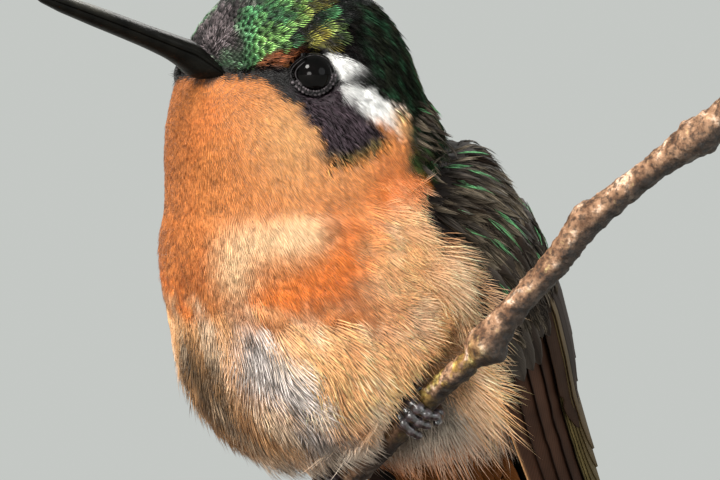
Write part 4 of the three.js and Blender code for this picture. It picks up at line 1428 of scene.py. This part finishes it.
def grow(name, pattern, roots, normals, ways, look, material, slot, seed):
    """Copies a feather pattern onto the skin as one mesh. The look gives each feather's sizes and colours."""
    points, faces, owner, outness = pattern
    draw = np.random.default_rng(seed)
    count = len(roots)
    barbs = owner.max() + 1
    across = np.cross(normals, ways)
    yaw = draw.normal(0, look["stray"], count) + look["sweep"]
    cosine, sine = np.cos(yaw)[:, None], np.sin(yaw)[:, None]
    ways, across = ways * cosine + across * sine, across * cosine - ways * sine
    length = (look["length"] * draw.uniform(0.84, 1.16, count))[:, None]
    half = (look["half_width"] * draw.uniform(0.88, 1.12, count))[:, None]
    lift = (look["lift"] + draw.normal(0, look["lift_stray"], count))[:, None]
    curl = (look["curl"] * np.ones(count))[:, None]
    chance = np.clip(draw.normal(0, 1, (3, count, barbs)), -1.8, 1.8)[:, :, owner]
    x = points[:, 0] * (1 + look["uneven"] * chance[1] * outness)
    y = points[:, 1] + look["splay"] * chance[0] * outness**1.5
    rise = length * (lift * x - curl * length * x**2)
    rise = rise + points[:, 2] * look["thick"] + look["hop"] * chance[2] * outness
    mesh_points = (
        roots[:, None]
        + ways[:, None] * (length * x)[..., None]
        + across[:, None] * (half * y)[..., None]
        + normals[:, None] * rise[..., None]
    )
    level = 1 + look["patchy"] * draw.uniform(-1, 1, (count, 1))
    station = np.clip(points[:, 0], 0, 1) * (TINT_STATIONS - 1)
    before = np.minimum(station.astype(int), TINT_STATIONS - 2)
    share = (station - before)[None, :, None]
    tint = look["tints"][:, before] * (1 - share) + look["tints"][:, before + 1] * share
    darkening = look["root_shade"] + (look["tip_shade"] - look["root_shade"]) * outness ** look["shade_power"]
    shade = 1 + draw.normal(0, look["mottle"], (count, barbs))[:, owner]
    tint = np.clip(tint * (darkening * level * shade)[..., None], 0, 1)
    offsets = (np.arange(count) * len(points))[:, None, None]
    all_faces = (faces[None] + offsets).reshape(-1, 3)
    places = to_stand(mesh_points.reshape(-1, 3))
    piece = mesh_piece(name, places, all_faces, material, slot, tint.reshape(-1, 3))
    patch = np.clip(np.stack([points[:, 1], points[:, 0] * 2 - 1], 1), -1, 1) * BAKE_PATCH / 2
    corners = all_faces.ravel()
    set_map(piece.data, "OFBake", (skin_map(roots)[:, None, :] + patch[None]).reshape(-1, 2)[corners])
    if material in WEBBED:
        own = np.stack([points[:, 1] / 2 + 0.5, points[:, 0]], 1)
        set_map(piece.data, "web", np.tile(own, (count, 1))[corners])
    return piece


BAKE_PATCH = 0.003
TINT_STATIONS = 4
WEBBED = {GLOSSY_FEATHER, FLIGHT_FEATHER}
SPACING = {
    "throat": 0.3, "face": 0.3, "stripe": 0.3, "nape": 0.4, "breast": 0.33, "belly": 0.44, "flank": 0.46,
    "vent": 0.52, "back": 0.62, "crown": np.inf,
}
SPACING_UNDER_WINGS = 1.3
BARE_ROUND_EYE = 1.85
BARE_ROUND_BILL = 0.8


def spacing_on(places):
    """How far apart the small feathers' roots are."""
    kind = group_of(places)
    spacing = np.vectorize(SPACING.get)(kind).astype(float)
    down, angle = round_body(places)
    hidden = (angle > 90) & (angle < 146) & (places[:, 2] < 4) & (down < 22)
    spacing = np.where(hidden, SPACING_UNDER_WINGS, spacing)
    beside_bill = np.linalg.norm(places - BILL_BASE, axis=1) < BARE_ROUND_BILL
    return np.where((from_eyes(places) < BARE_ROUND_EYE) | beside_bill, np.inf, spacing)


PROBE_REACH = 6.0


def first_hits(trees, starts, toward):
    """Where rays from bird-frame places first meet some surfaces, which rays do, and the normals there."""
    hits, normals, found = [], [], []
    for start, way in zip(to_stand(starts), toward @ BIRD_TO_STAND.T):
        best = None
        for tree in trees:
            hit, normal, _, gap = tree.ray_cast(Vector(start), Vector(way))
            if hit is not None and (best is None or gap < best[2]):
                best = (hit, normal if normal.dot(Vector(way)) < 0 else -normal, gap)
        found.append(best is not None)
        hits.append(best[0] if best else (0, 0, 0))
        normals.append(best[1] if best else (0, 0, 1))
    return to_bird(hits), np.array(found), np.array(normals) @ BIRD_TO_STAND


HEAD_RADIUS = 9.3
CROWN_SCALES = [(8, 0.32), (18, 0.46), (26, 0.78), (38, 1.05), (60, 1.35)]
CROWN_START = 3.0
CROWN_END = 150
CROWN_OVERLAP = 0.66
CROWN_GAP = 1.05
FOREHEAD_SIZE = 0.5


def crown_rings():
    """Staggered rings of roots for the crown's scales, round the line from the head's middle to the bill."""
    centre = Vector(to_stand([HEAD_CENTRE])[0])
    ahead = unit(BILL_BASE - HEAD_CENTRE)
    side = unit(np.cross((0, 0, 1), ahead))
    over = np.cross(ahead, side)
    roots, normals, sizes = [], [], []
    open_angle = CROWN_START
    ring = 0
    while open_angle < CROWN_END:
        size = float(along_line(CROWN_SCALES, open_angle))
        slant = math.radians(open_angle)
        count = int(2 * math.pi * HEAD_RADIUS * math.sin(slant) / (size * CROWN_GAP))
        for index in range(count):
            roll = 2 * math.pi * (index + 0.5 * (ring % 2)) / count
            way = ahead * math.cos(slant) + (side * math.cos(roll) + over * math.sin(roll)) * math.sin(slant)
            hit, normal, _, _ = skin_tree.ray_cast(centre, Vector(way @ BIRD_TO_STAND.T))
            if hit is not None:
                roots.append(to_bird([hit])[0])
                normals.append(np.array(normal) @ BIRD_TO_STAND)
                sizes.append(size)
        open_angle += math.degrees(size * CROWN_OVERLAP / HEAD_RADIUS)
        ring += 1
    roots, normals, sizes = np.array(roots), np.array(normals), np.array(sizes)
    picked = group_of(roots) == "crown"
    return roots[picked], normals[picked], sizes[picked]


FRINGE_LENGTH = 5.2
FRINGE_SPACING = 0.5
FRINGE_TRIES = 2600


def fringe_roots(side_name, side):
    """Roots of the long flank barbs that fan out over the folded wing's front edge."""
    draw = np.random.default_rng(70)
    down = draw.uniform(FRINGE_LINE[0][0], FRINGE_LINE[-1][0], FRINGE_TRIES)
    angle = along_line(FRINGE_LINE, down) - draw.uniform(0, 14, len(down))
    place = beside_body(side)
    level = np.full(len(down), PROBE_REACH)
    outside, inside = place(down, angle, level, 0), place(down, angle, -level, 0)
    toward = unit(inside - outside)
    roots, found, normals = first_hits([skin_tree, BED_TREE, WING_TREES[side_name]], outside, toward)
    roots, normals = roots[found], unit(normals - toward)[found]
    kept = thin_out(roots, np.full(len(roots), FRINGE_SPACING))
    return roots[kept], normals[kept]


BILL_COVER = [(-4.6, 14), (-2.0, 42), (0.0, 66), (1.0, 84)]
BILL_COVER_SIZE = 0.3


def bill_cover_roots():
    """Roots of the small forehead feathers that run out over the bill's base."""
    roots, normals = [], []
    for row, along in enumerate(np.arange(BILL_COVER[0][0], BILL_COVER[-1][0], BILL_COVER_SIZE * 0.72)):
        lowest = math.radians(float(along_line(BILL_COVER, along)))
        half_wide, half_deep = bill_half(along)
        count = max(1, int(half_deep * (math.pi - 2 * lowest) / BILL_COVER_SIZE))
        for index in range(count + 1):
            angle = lowest + (math.pi - 2 * lowest) * (index + 0.5 * (row % 2)) / (count + 0.5)
            outward = HEAD_LEFT * math.cos(angle) + BILL_UP * math.sin(angle)
            roots.append(on_bill(along, half_wide * math.cos(angle), half_deep * math.sin(angle)))
            normals.append(outward)
    return np.array(roots), np.array(normals)


roots, normals = skin_samples(spacing_on, 5)
batches = [(group_of(roots), roots, normals, np.ones(len(roots)))]
crown_roots, crown_normals, crown_sizes = crown_rings()
for kind, chosen in (("crown", crown_sizes >= FOREHEAD_SIZE), ("forehead", crown_sizes < FOREHEAD_SIZE)):
    batches.append((kind, crown_roots[chosen], crown_normals[chosen], crown_sizes[chosen]))
cover, cover_normals = bill_cover_roots()
batches.append(("forehead", cover, cover_normals, np.full(len(cover), BILL_COVER_SIZE)))
for side_name, side in SIDES.items():
    edge_roots, edge_normals = fringe_roots(side_name, side)
    batches.append(("fringe", edge_roots, edge_normals, np.ones(len(edge_roots))))
kinds = np.concatenate([np.full(len(places), kind, dtype=object) for kind, places, _, _ in batches])
roots, normals, scale_sizes = (np.concatenate([batch[column] for batch in batches]) for column in (1, 2, 3))
ways = lie(roots, normals)


FAR = 9.0


def gaps_to(trees, places):
    """How far each place in the bird's frame is from the nearest of some surfaces, negative inside them."""
    gaps = np.full(len(places), FAR)
    for index, place in enumerate(to_stand(places)):
        for tree in trees:
            nearest, normal, _, gap = tree.find_nearest(Vector(place), FAR * MM)
            if nearest is not None:
                outside = (Vector(place) - nearest).dot(normal) > 0
                gaps[index] = min(gaps[index], gap / MM if outside else -gap / MM)
    return gaps


SHORTENINGS = (1.0, 0.85, 0.7, 0.55, 0.4, 0.25)


def clear_length(roots, ways, normals, length, lift):
    """Each feather's length, cut where it would run into the twig or a foot."""
    share = np.ones(len(roots))
    for step in SHORTENINGS:
        reach = (length * step)[:, None]
        tips = roots + ways * reach + normals * reach * lift[:, None]
        share = np.where(gaps_to(CLEAR_OF, tips) < TIP_CLEARANCE, np.minimum(share, step - 0.15), share)
    return length * share, share


def gathered(roots, ways, normals, length, size, share):
    """The feathers' directions with their tips drawn together into tufts."""
    leaders = thin_out(roots, np.full(len(roots), size))
    tree = KDTree(len(leaders))
    for index in leaders:
        tree.insert(Vector(roots[index]), int(index))
    tree.balance()
    nearest = np.array([tree.find(Vector(root))[1] for root in roots])
    tips = roots + ways * length[:, None]
    turned = mix(tips, tips[nearest], np.full(len(roots), share)) - roots
    return laid_flat(turned, normals)


BREAST_HOLLOW = np.array([15.2, 10.4, 1.4])
HOLLOW_SIZE = (3, 3, 2.6)
MIRRORED = np.array([1, -1, 1])

# Sizes in millimetres and shares of each kind of feather. The usual ones hold where a kind gives none.
USUAL = {
    "lift": 0.18, "root_shade": 0.5, "tip_shade": 1.1, "shade_power": 1.0, "splay": 0.06, "mottle": 0.12,
    "uneven": 0.06, "hop": 0.01, "stray": 0.1, "lift_stray": 0.03, "sweep": 0.0, "curl": 0.02, "thick": 0.03,
    "patchy": 0.14,
}
LOOKS = {
    "face": {"half_width": 0.32, "mottle": 0.95, "patchy": 0.3, "tip_shade": 1.15, "root_shade": 0.3},
    "stripe": {
        "half_width": 0.4, "lift": 0.12, "root_shade": 0.72, "tip_shade": 1.15, "splay": 0.12, "mottle": 0.1,
        "uneven": 0.14, "stray": 0.08, "patchy": 0.05,
    },
    "throat": {
        "half_width": 0.46, "lift": 0.07, "root_shade": 0.3, "tip_shade": 1.22, "splay": 0.07, "mottle": 0.17,
        "stray": 0.06, "lift_stray": 0.015, "curl": 0.01, "patchy": 0.1,
    },
    "nape": {"length": 1.9, "half_width": 0.45, "lift": 0.14, "mottle": 0.7, "splay": 0.12},
    "breast": {
        "length": 2.3, "half_width": 0.6, "root_shade": 0.6, "splay": 0.07, "mottle": 0.08, "stray": 0.05,
        "curl": 0.01, "patchy": 0.06,
    },
    "belly": {
        "root_shade": 0.46, "tip_shade": 1.5, "splay": 0.13, "mottle": 0.16, "uneven": 0.12, "hop": 0.06,
        "stray": 0.07, "lift_stray": 0.04,
    },
    "flank": {
        "tip_shade": 1.45, "splay": 0.14, "mottle": 0.16, "uneven": 0.14, "hop": 0.08, "stray": 0.09,
        "lift_stray": 0.04, "curl": 0.025,
    },
    "vent": {
        "half_width": 1.2, "root_shade": 0.6, "tip_shade": 1.3, "splay": 0.18, "uneven": 0.2, "hop": 0.1,
        "stray": 0.12, "lift_stray": 0.05,
    },
    "back": {"length": 2.6, "half_width": 0.75, "lift": 0.12, "mottle": 0.35, "splay": 0.1},
    "crown": {
        "lift": 0.24, "root_shade": 0.01, "tip_shade": 1.5, "shade_power": 2.0, "splay": 0.04, "mottle": 0.42,
        "uneven": 0.03, "stray": 0.07, "curl": 0.1, "thick": 0.05,
    },
}
LOOKS["fringe"] = LOOKS["flank"] | {"half_width": 1.4, "lift": 0.34, "curl": 0.04}
LOOKS["forehead"] = LOOKS["crown"] | {"lift": 0.16, "root_shade": 0.04, "shade_power": 1.6, "mottle": 0.75}


def varied(kind, places, sizes):
    """The sizes of one kind of feather that change from place to place."""
    height = places[:, 2]
    if kind == "face":
        near = smooth(3.6, 2.0, from_eyes(places))
        return {"length": 1.15 - 0.5 * near, "lift": 0.12 + 0.04 * near}
    if kind == "stripe":
        return {"length": 2.0 + 0.9 * smooth(7.5, 5.5, places[:, 0])}
    if kind == "throat":
        away = np.linalg.norm(places - BILL_BASE, axis=1)
        return {"length": 0.9 + 0.8 * smooth(4, 11, away), "sweep": 0.1 * rough(places, 3.0, 41)}
    if kind == "breast":
        hollows = [blob(places, centre, HOLLOW_SIZE) for centre in (BREAST_HOLLOW, BREAST_HOLLOW * MIRRORED)]
        return {"lift": 0.09 + 0.07 * sum(hollows), "sweep": 0.12 * rough(places, 3.0, 42)}
    if kind == "belly":
        loose = smooth(-3, -12, height)
        look = {"length": 3.0 + 1.9 * loose + smooth(-16, -19, height), "sweep": 0.3 * rough(places, 3.6, 43)}
        return look | {"half_width": 0.7 + 0.5 * loose, "lift": 0.12 + 0.08 * loose}
    if kind == "flank":
        high = smooth(2, 6, height)
        look = {"length": 4.2 - 2.0 * high, "sweep": 0.18 * rough(places, 3.0, 44)}
        return look | {"half_width": 1.0 - 0.3 * high, "lift": 0.24 - 0.14 * high}
    if kind == "fringe":
        low = smooth(12, 14, round_body(places)[0])
        return {"length": FRINGE_LENGTH + 1.9 * low, "sweep": 0.18 * rough(places, 3.0, 44)}
    if kind == "vent":
        return {"length": 4.4 + 3.4 * smooth(4, 8, np.abs(places[:, 1]))}
    if kind in ("crown", "forehead"):
        return {"length": (1.35 if kind == "crown" else 1.9) * sizes, "half_width": 0.7 * sizes}
    return {}


def look_for(kind, places, ways, sizes):
    """Sizes and colours of one kind of feather at each place, in millimetres and linear light."""
    look = USUAL | LOOKS[kind] | varied(kind, places, sizes)
    look["length"] = look["length"] * np.ones(len(places))
    shares = np.linspace(0, 0.9, TINT_STATIONS)
    tints = np.stack([plumage(places + ways * (look["length"] * share)[:, None]) for share in shares], 1)
    if kind in ("flank", "fringe"):
        pale = np.linspace(0, 0.75, TINT_STATIONS) * (0.6 if kind == "flank" else 0.85)
        tints = mix(tints, PALE_BUFF, pale)
        tints = mix(tints, VENT_GREY, 0.85 * smooth(12, 14, round_body(places)[0])[:, None])
    elif kind == "back":
        tints = mix(tints, SHOULDER_GREEN, 0.25 * smooth(0.2, 0.9, rough(places, 1.2, 12))[:, None])
    elif kind in ("crown", "forehead"):
        glow = 0.42 + 1.1 * smooth(-0.6, 0.5, rough(places, 1.3, 45))
        tints = np.repeat(plumage(places)[:, None], TINT_STATIONS, 1) * glow[:, None, None]
    return look | {"tints": tints}


def picked_from(look, picked):
    """The part of a look that belongs to some of its feathers."""
    return {key: value[picked] if isinstance(value, np.ndarray) else value for key, value in look.items()}


PATTERNS = {
    "face": barbed_pattern(5, 2, 0.9, 1.0, 0.13, 1, 0.3),
    "stripe": barbed_pattern(6, 2, 0.9, 1.0, 0.085, 1, 0.5),
    "throat": barbed_pattern(6, 2, 1.0, 1.0, 0.09, 2, 0.8),
    "nape": barbed_pattern(6, 2, 1.0, 1.0, 0.13, 3, 0.3),
    "breast": barbed_pattern(7, 2, 1.0, 1.0, 0.07, 4, 0.8),
    "belly": barbed_pattern(8, 3, 1.0, 1.0, 0.055, 5, 0.45),
    "flank": barbed_pattern(9, 3, 1.0, 1.0, 0.036, 6, 0.45),
    "fringe": barbed_pattern(9, 4, 1.0, 1.0, 0.022, 6, 0.4),
    "vent": barbed_pattern(9, 3, 1.0, 1.0, 0.035, 7, 0.3),
    "back": barbed_pattern(9, 2, 1.0, 1.0, 0.1, 8),
    "crown": barbed_pattern(9, 3, 0.9, 1.0, 0.085, 9, 0.25),
    "forehead": barbed_pattern(5, 2, 0.9, 1.0, 0.12, 9, 0.4),
}
SLOTS = {"throat": "throat_feathers", "breast": "throat_feathers"}
SLOTS |= dict.fromkeys(("belly", "flank", "fringe", "vent"), "belly_feathers")
SLOTS |= dict.fromkeys(("face", "stripe", "nape", "crown", "back", "forehead"), "crown_feathers")
FINISH = dict.fromkeys(("crown", "forehead"), GLOSSY_FEATHER)
FINISH |= dict.fromkeys(("face", "nape", "back"), DARK_FEATHER)
TUFTS = {"breast": (1.2, 0.25), "belly": (1.9, 0.5), "flank": (1.9, 0.4), "vent": (1.8, 0.4)}
NEAR_TWIG = ("belly", "breast", "flank", "fringe", "vent")
TIP_CLEARANCE = 0.4
ROOT_CLEARANCE = 0.6

for kind, pattern in PATTERNS.items():
    chosen = np.flatnonzero(kinds == kind)
    spots, outward, along = roots[chosen], normals[chosen], ways[chosen]
    look = look_for(kind, spots, along, scale_sizes[chosen])
    keep = np.ones(len(chosen), bool)
    if kind in TUFTS:
        along = gathered(spots, along, outward, look["length"], *TUFTS[kind])
    if kind in NEAR_TWIG:
        away = gaps_to(CLEAR_OF, spots)
        look["lift"] = look["lift"] * (0.3 + 0.7 * smooth(1.5, 6.0, away))
        look["length"], share = clear_length(spots, along, outward, look["length"], look["lift"] * 0.8)
        keep = (share > 0.2) & (away > ROOT_CLEARANCE)
    front = outward[:, 0] >= 0.2
    left = spots[:, 1] >= 0
    for end, at_end in (("front", front), ("rear", ~front)):
        for side_name, at_side in (("left", left), ("right", ~left)):
            picked = at_side & at_end & keep
            if picked.any():
                grow(
                    f"coat_{kind}_{side_name}_{end}", pattern, spots[picked], outward[picked], along[picked],
                    picked_from(look, picked), FINISH.get(kind, SOFT_FEATHER), SLOTS[kind], len(kind) + 17,
                )


PLUME_LENGTH = 4.6
PLUME_END = 10.5
PLUME_SPACING = 0.62
PLUME_TRIES = 7000
GLOSSY_PLUMES = 0.1


def following_curl(trees, roots, ways, length):
    """The bend that keeps each feather's tip on the nearest of some surfaces."""
    return np.clip(gaps_to(trees, roots + ways * length[:, None]), -0.4, 2.5) / length**2


def make_plumes(side_name, side):
    """Narrow pointed coverts that overlap like shingles from the neck down over the wing's upper part."""
    draw = np.random.default_rng(50)
    place = beside_body(side)
    down = draw.uniform(-13, PLUME_END, PLUME_TRIES)
    angle = draw.uniform(60, 158, PLUME_TRIES)
    level = np.zeros(PLUME_TRIES)
    outside = place(down, angle, level + PROBE_REACH, level)
    toward = unit(place(down, angle, level - PROBE_REACH, level) - outside)
    backward = np.interp(down, [-12, -4, 10], [0.45, 0.42, 0.2])
    ways = unit(place(down + 0.5, angle, level + 1, 0.5 * backward) - place(down, angle, level + 1, level))
    bedding = [skin_tree, BED_TREE]
    roots, found, _ = first_hits([*bedding, WING_TREES[side_name]], outside, toward)
    _, bedded, normals = first_hits(bedding, outside, toward)
    normals = unit(np.where(bedded[:, None], normals, -toward) - 0.3 * toward)
    on_wing = found & (angle > along_line(SHOULDER_LINE, down) + 1) & (roots[:, 2] < 13.0)
    on_wing = on_wing & (ways @ WING_AXIS > 0.55) & (down < PLUME_END - 0.05 * np.abs(angle - 100))
    kept = np.flatnonzero(on_wing)
    kept = kept[thin_out(roots[kept], np.full(len(kept), PLUME_SPACING))]
    roots, normals, ways, down = roots[kept], normals[kept], ways[kept], down[kept]
    ways = laid_flat(ways, normals)
    away = gaps_to(CLEAR_OF, roots)
    count = len(kept)
    size = 0.55 + 0.45 * smooth(-11, -2, down)
    dark = mix(flat(COVERT_GREY * 0.8, count), WING_DARK * 0.5, draw.random(count))
    pale = mix(dark * 1.5, COVERT_PALE, 0.95 * draw.random(count) ** 1.6)
    length = PLUME_LENGTH * size * (1 - 0.5 * smooth(1.6, 0.6, away))
    look = USUAL | {
        "length": length, "half_width": 0.52 * size, "lift": 0.18 - 0.1 * smooth(3, 1, away),
        "curl": 0.012 + 0.85 * following_curl(bedding, roots, ways, length),
        "sweep": 0.18 * rough(roots, 3, 51),
        "tints": mix(dark[:, None], pale[:, None], np.linspace(0, 1, TINT_STATIONS)), "root_shade": 0.12,
        "tip_shade": 1.55, "splay": 0.07, "mottle": 0.45, "uneven": 0.12, "hop": 0.04, "stray": 0.12,
        "lift_stray": 0.04, "thick": 0.04, "patchy": 0.2,
    }
    clear = away > 0.5
    glossy = clear & (draw.random(count) < GLOSSY_PLUMES * smooth(9, 3, down))
    webs = look | {"half_width": 0.5 * size, "tip_shade": 0.6, "root_shade": 0.2, "length": length * 0.92}
    gloss = look | {"half_width": 0.3 * size, "tip_shade": 1.1, "root_shade": 0.04, "mottle": 0.7}
    gloss["tints"] = np.tile(COVERT_GLOSS, (count, TINT_STATIONS, 1))
    layers = (
        ("coverts", barbed_pattern(9, 2, 1.0, 1.0, 0.085, 9), look, DARK_FEATHER, clear, 0.0),
        ("covert_webs", plate_pattern(5, 4, 0.4, 1.3, 0.5), webs, FLIGHT_FEATHER, clear, 0.1),
        ("covert_gloss", barbed_pattern(7, 2, 1.0, 1.0, 0.1, 9), gloss, GLOSSY_FEATHER, glossy, -0.12),
    )
    for name, pattern, sizes, material, picked, sink in layers:
        grow(
            f"{name}_{side_name}", pattern, (roots - normals * sink)[picked], normals[picked], ways[picked],
            picked_from(sizes, picked), material, "wing_feathers", 52,
        )


for side_name, side in SIDES.items():
    make_plumes(side_name, side)


# Stand
BASE_MARGIN = 1.6
BASE_GROOVE = 0.35
BASE_EDGE = 0.5
ROD_SIDES = 48
ROD_PROFILE = [(3.6, 0), (3.6, 0.6), (3.3, 0.85), (1.9, 1.2), (1.35, 1.9), (1.25, 2.7)]


def make_base():
    """A turned disc with a thin groove round its top and eased edges."""
    low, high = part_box("stand_base")
    radius = (high[0] - low[0]) / 2
    thick = high[2] - low[2]
    bpy.ops.mesh.primitive_cylinder_add(vertices=160, radius=radius, depth=thick, location=(0, 0, thick / 2))
    base = bpy.context.active_object
    base.name = "base_turned"
    apply_place()
    bpy.ops.object.mode_set(mode="EDIT")
    bpy.ops.mesh.select_all(action="DESELECT")
    bpy.ops.object.mode_set(mode="OBJECT")
    for face in base.data.polygons:
        face.select = face.normal.z > 0.9
    bpy.ops.object.mode_set(mode="EDIT")
    bpy.ops.mesh.inset(thickness=BASE_MARGIN * MM)
    for depth in (-BASE_GROOVE, BASE_GROOVE):
        bpy.ops.mesh.inset(thickness=BASE_GROOVE * MM, depth=depth * MM)
    bpy.ops.object.mode_set(mode="OBJECT")
    bevel = base.modifiers.new("eased", "BEVEL")
    bevel.width = BASE_EDGE * MM
    bevel.segments = 4
    bevel.angle_limit = math.radians(50)
    apply_modifiers(base)
    finish_piece(base, TURNED_WOOD, "stand_wood")
    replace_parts(base, "stand_base")


def make_rod():
    """A brass rod that rises from a small turned foot."""
    low, high = (np.array(corner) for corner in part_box("stand_rod"))
    middle = (low + high) / 2
    rings = [(radius, low[2] + height * MM) for radius, height in ROD_PROFILE]
    rings.append((ROD_PROFILE[-1][0], high[2]))
    vertices = []
    for radius, level in rings:
        for angle in np.arange(ROD_SIDES) * 2 * math.pi / ROD_SIDES:
            around = np.array([math.cos(angle), math.sin(angle)]) * radius * MM
            vertices.append((*(middle[:2] + around), level))
    faces = tube_faces(len(rings), ROD_SIDES)
    rod = mesh_piece("rod_brass", vertices, faces, STAND_BRASS, "stand_brass")
    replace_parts(rod, "stand_rod")


make_base()
make_rod()


# Floor, light and camera
FLOOR_SIZE = 3.9
LIT_PLACE = Vector((0, 0, 0.055))
LIGHTS = {
    "key": ((-0.42, -0.62, 0.62), 0.3, 14.5, (1.0, 0.97, 0.92)),
    "fill": ((0.7, -0.6, 0.25), 0.6, 2.4, (0.94, 0.97, 1.0)),
    "low": ((-0.25, -0.75, 0.06), 0.3, 4.8, (1.0, 0.97, 0.93)),
    "rim": ((0.3, 0.6, 0.5), 0.4, 5, (1.0, 0.98, 0.94)),
}
ROOM_COLOUR = (0.74, 0.77, 0.74)
ROOM_LIGHT = 0.75
CAMERA_DISTANCE = 1.5
VIEW_WIDTH = 65.9 * MM
SENSOR_WIDTH = 36


def make_floor():
    bpy.ops.mesh.primitive_plane_add(size=FLOOR_SIZE, location=(0, 0, 0))
    floor = bpy.context.active_object
    floor.name = "studio_floor"
    floor.data.materials.append(floor_material())
    floor.select_set(False)


def make_light(name, place, size, power, colour):
    """A round soft light aimed at the bird."""
    data = bpy.data.lights.new(name, "AREA")
    data.shape = "DISK"
    data.size = size
    data.energy = power
    data.color = colour
    light = add_object(name, data)
    light.location = place
    light.rotation_euler = (LIT_PLACE - Vector(place)).to_track_quat("-Z", "Y").to_euler()


make_floor()
for light_name, settings in LIGHTS.items():
    make_light(light_name, *settings)
bpy.context.scene.view_settings.view_transform = "Standard"

world = bpy.data.worlds.new("studio")
bpy.context.scene.world = world
world.use_nodes = True
background = world.node_tree.nodes["Background"]
background.inputs["Color"].default_value = (*ROOM_COLOUR, 1)
background.inputs["Strength"].default_value = ROOM_LIGHT

camera_data = bpy.data.cameras.new("camera")
camera_data.sensor_width = SENSOR_WIDTH
camera_data.lens = SENSOR_WIDTH * CAMERA_DISTANCE / VIEW_WIDTH
camera_data.clip_end = 20
camera = add_object("camera", camera_data)
camera.location = BIRD_PLACE * MM - np.array([0, CAMERA_DISTANCE, 0])
camera.rotation_euler = (math.radians(90), 0, 0)
bpy.context.scene.camera = camera
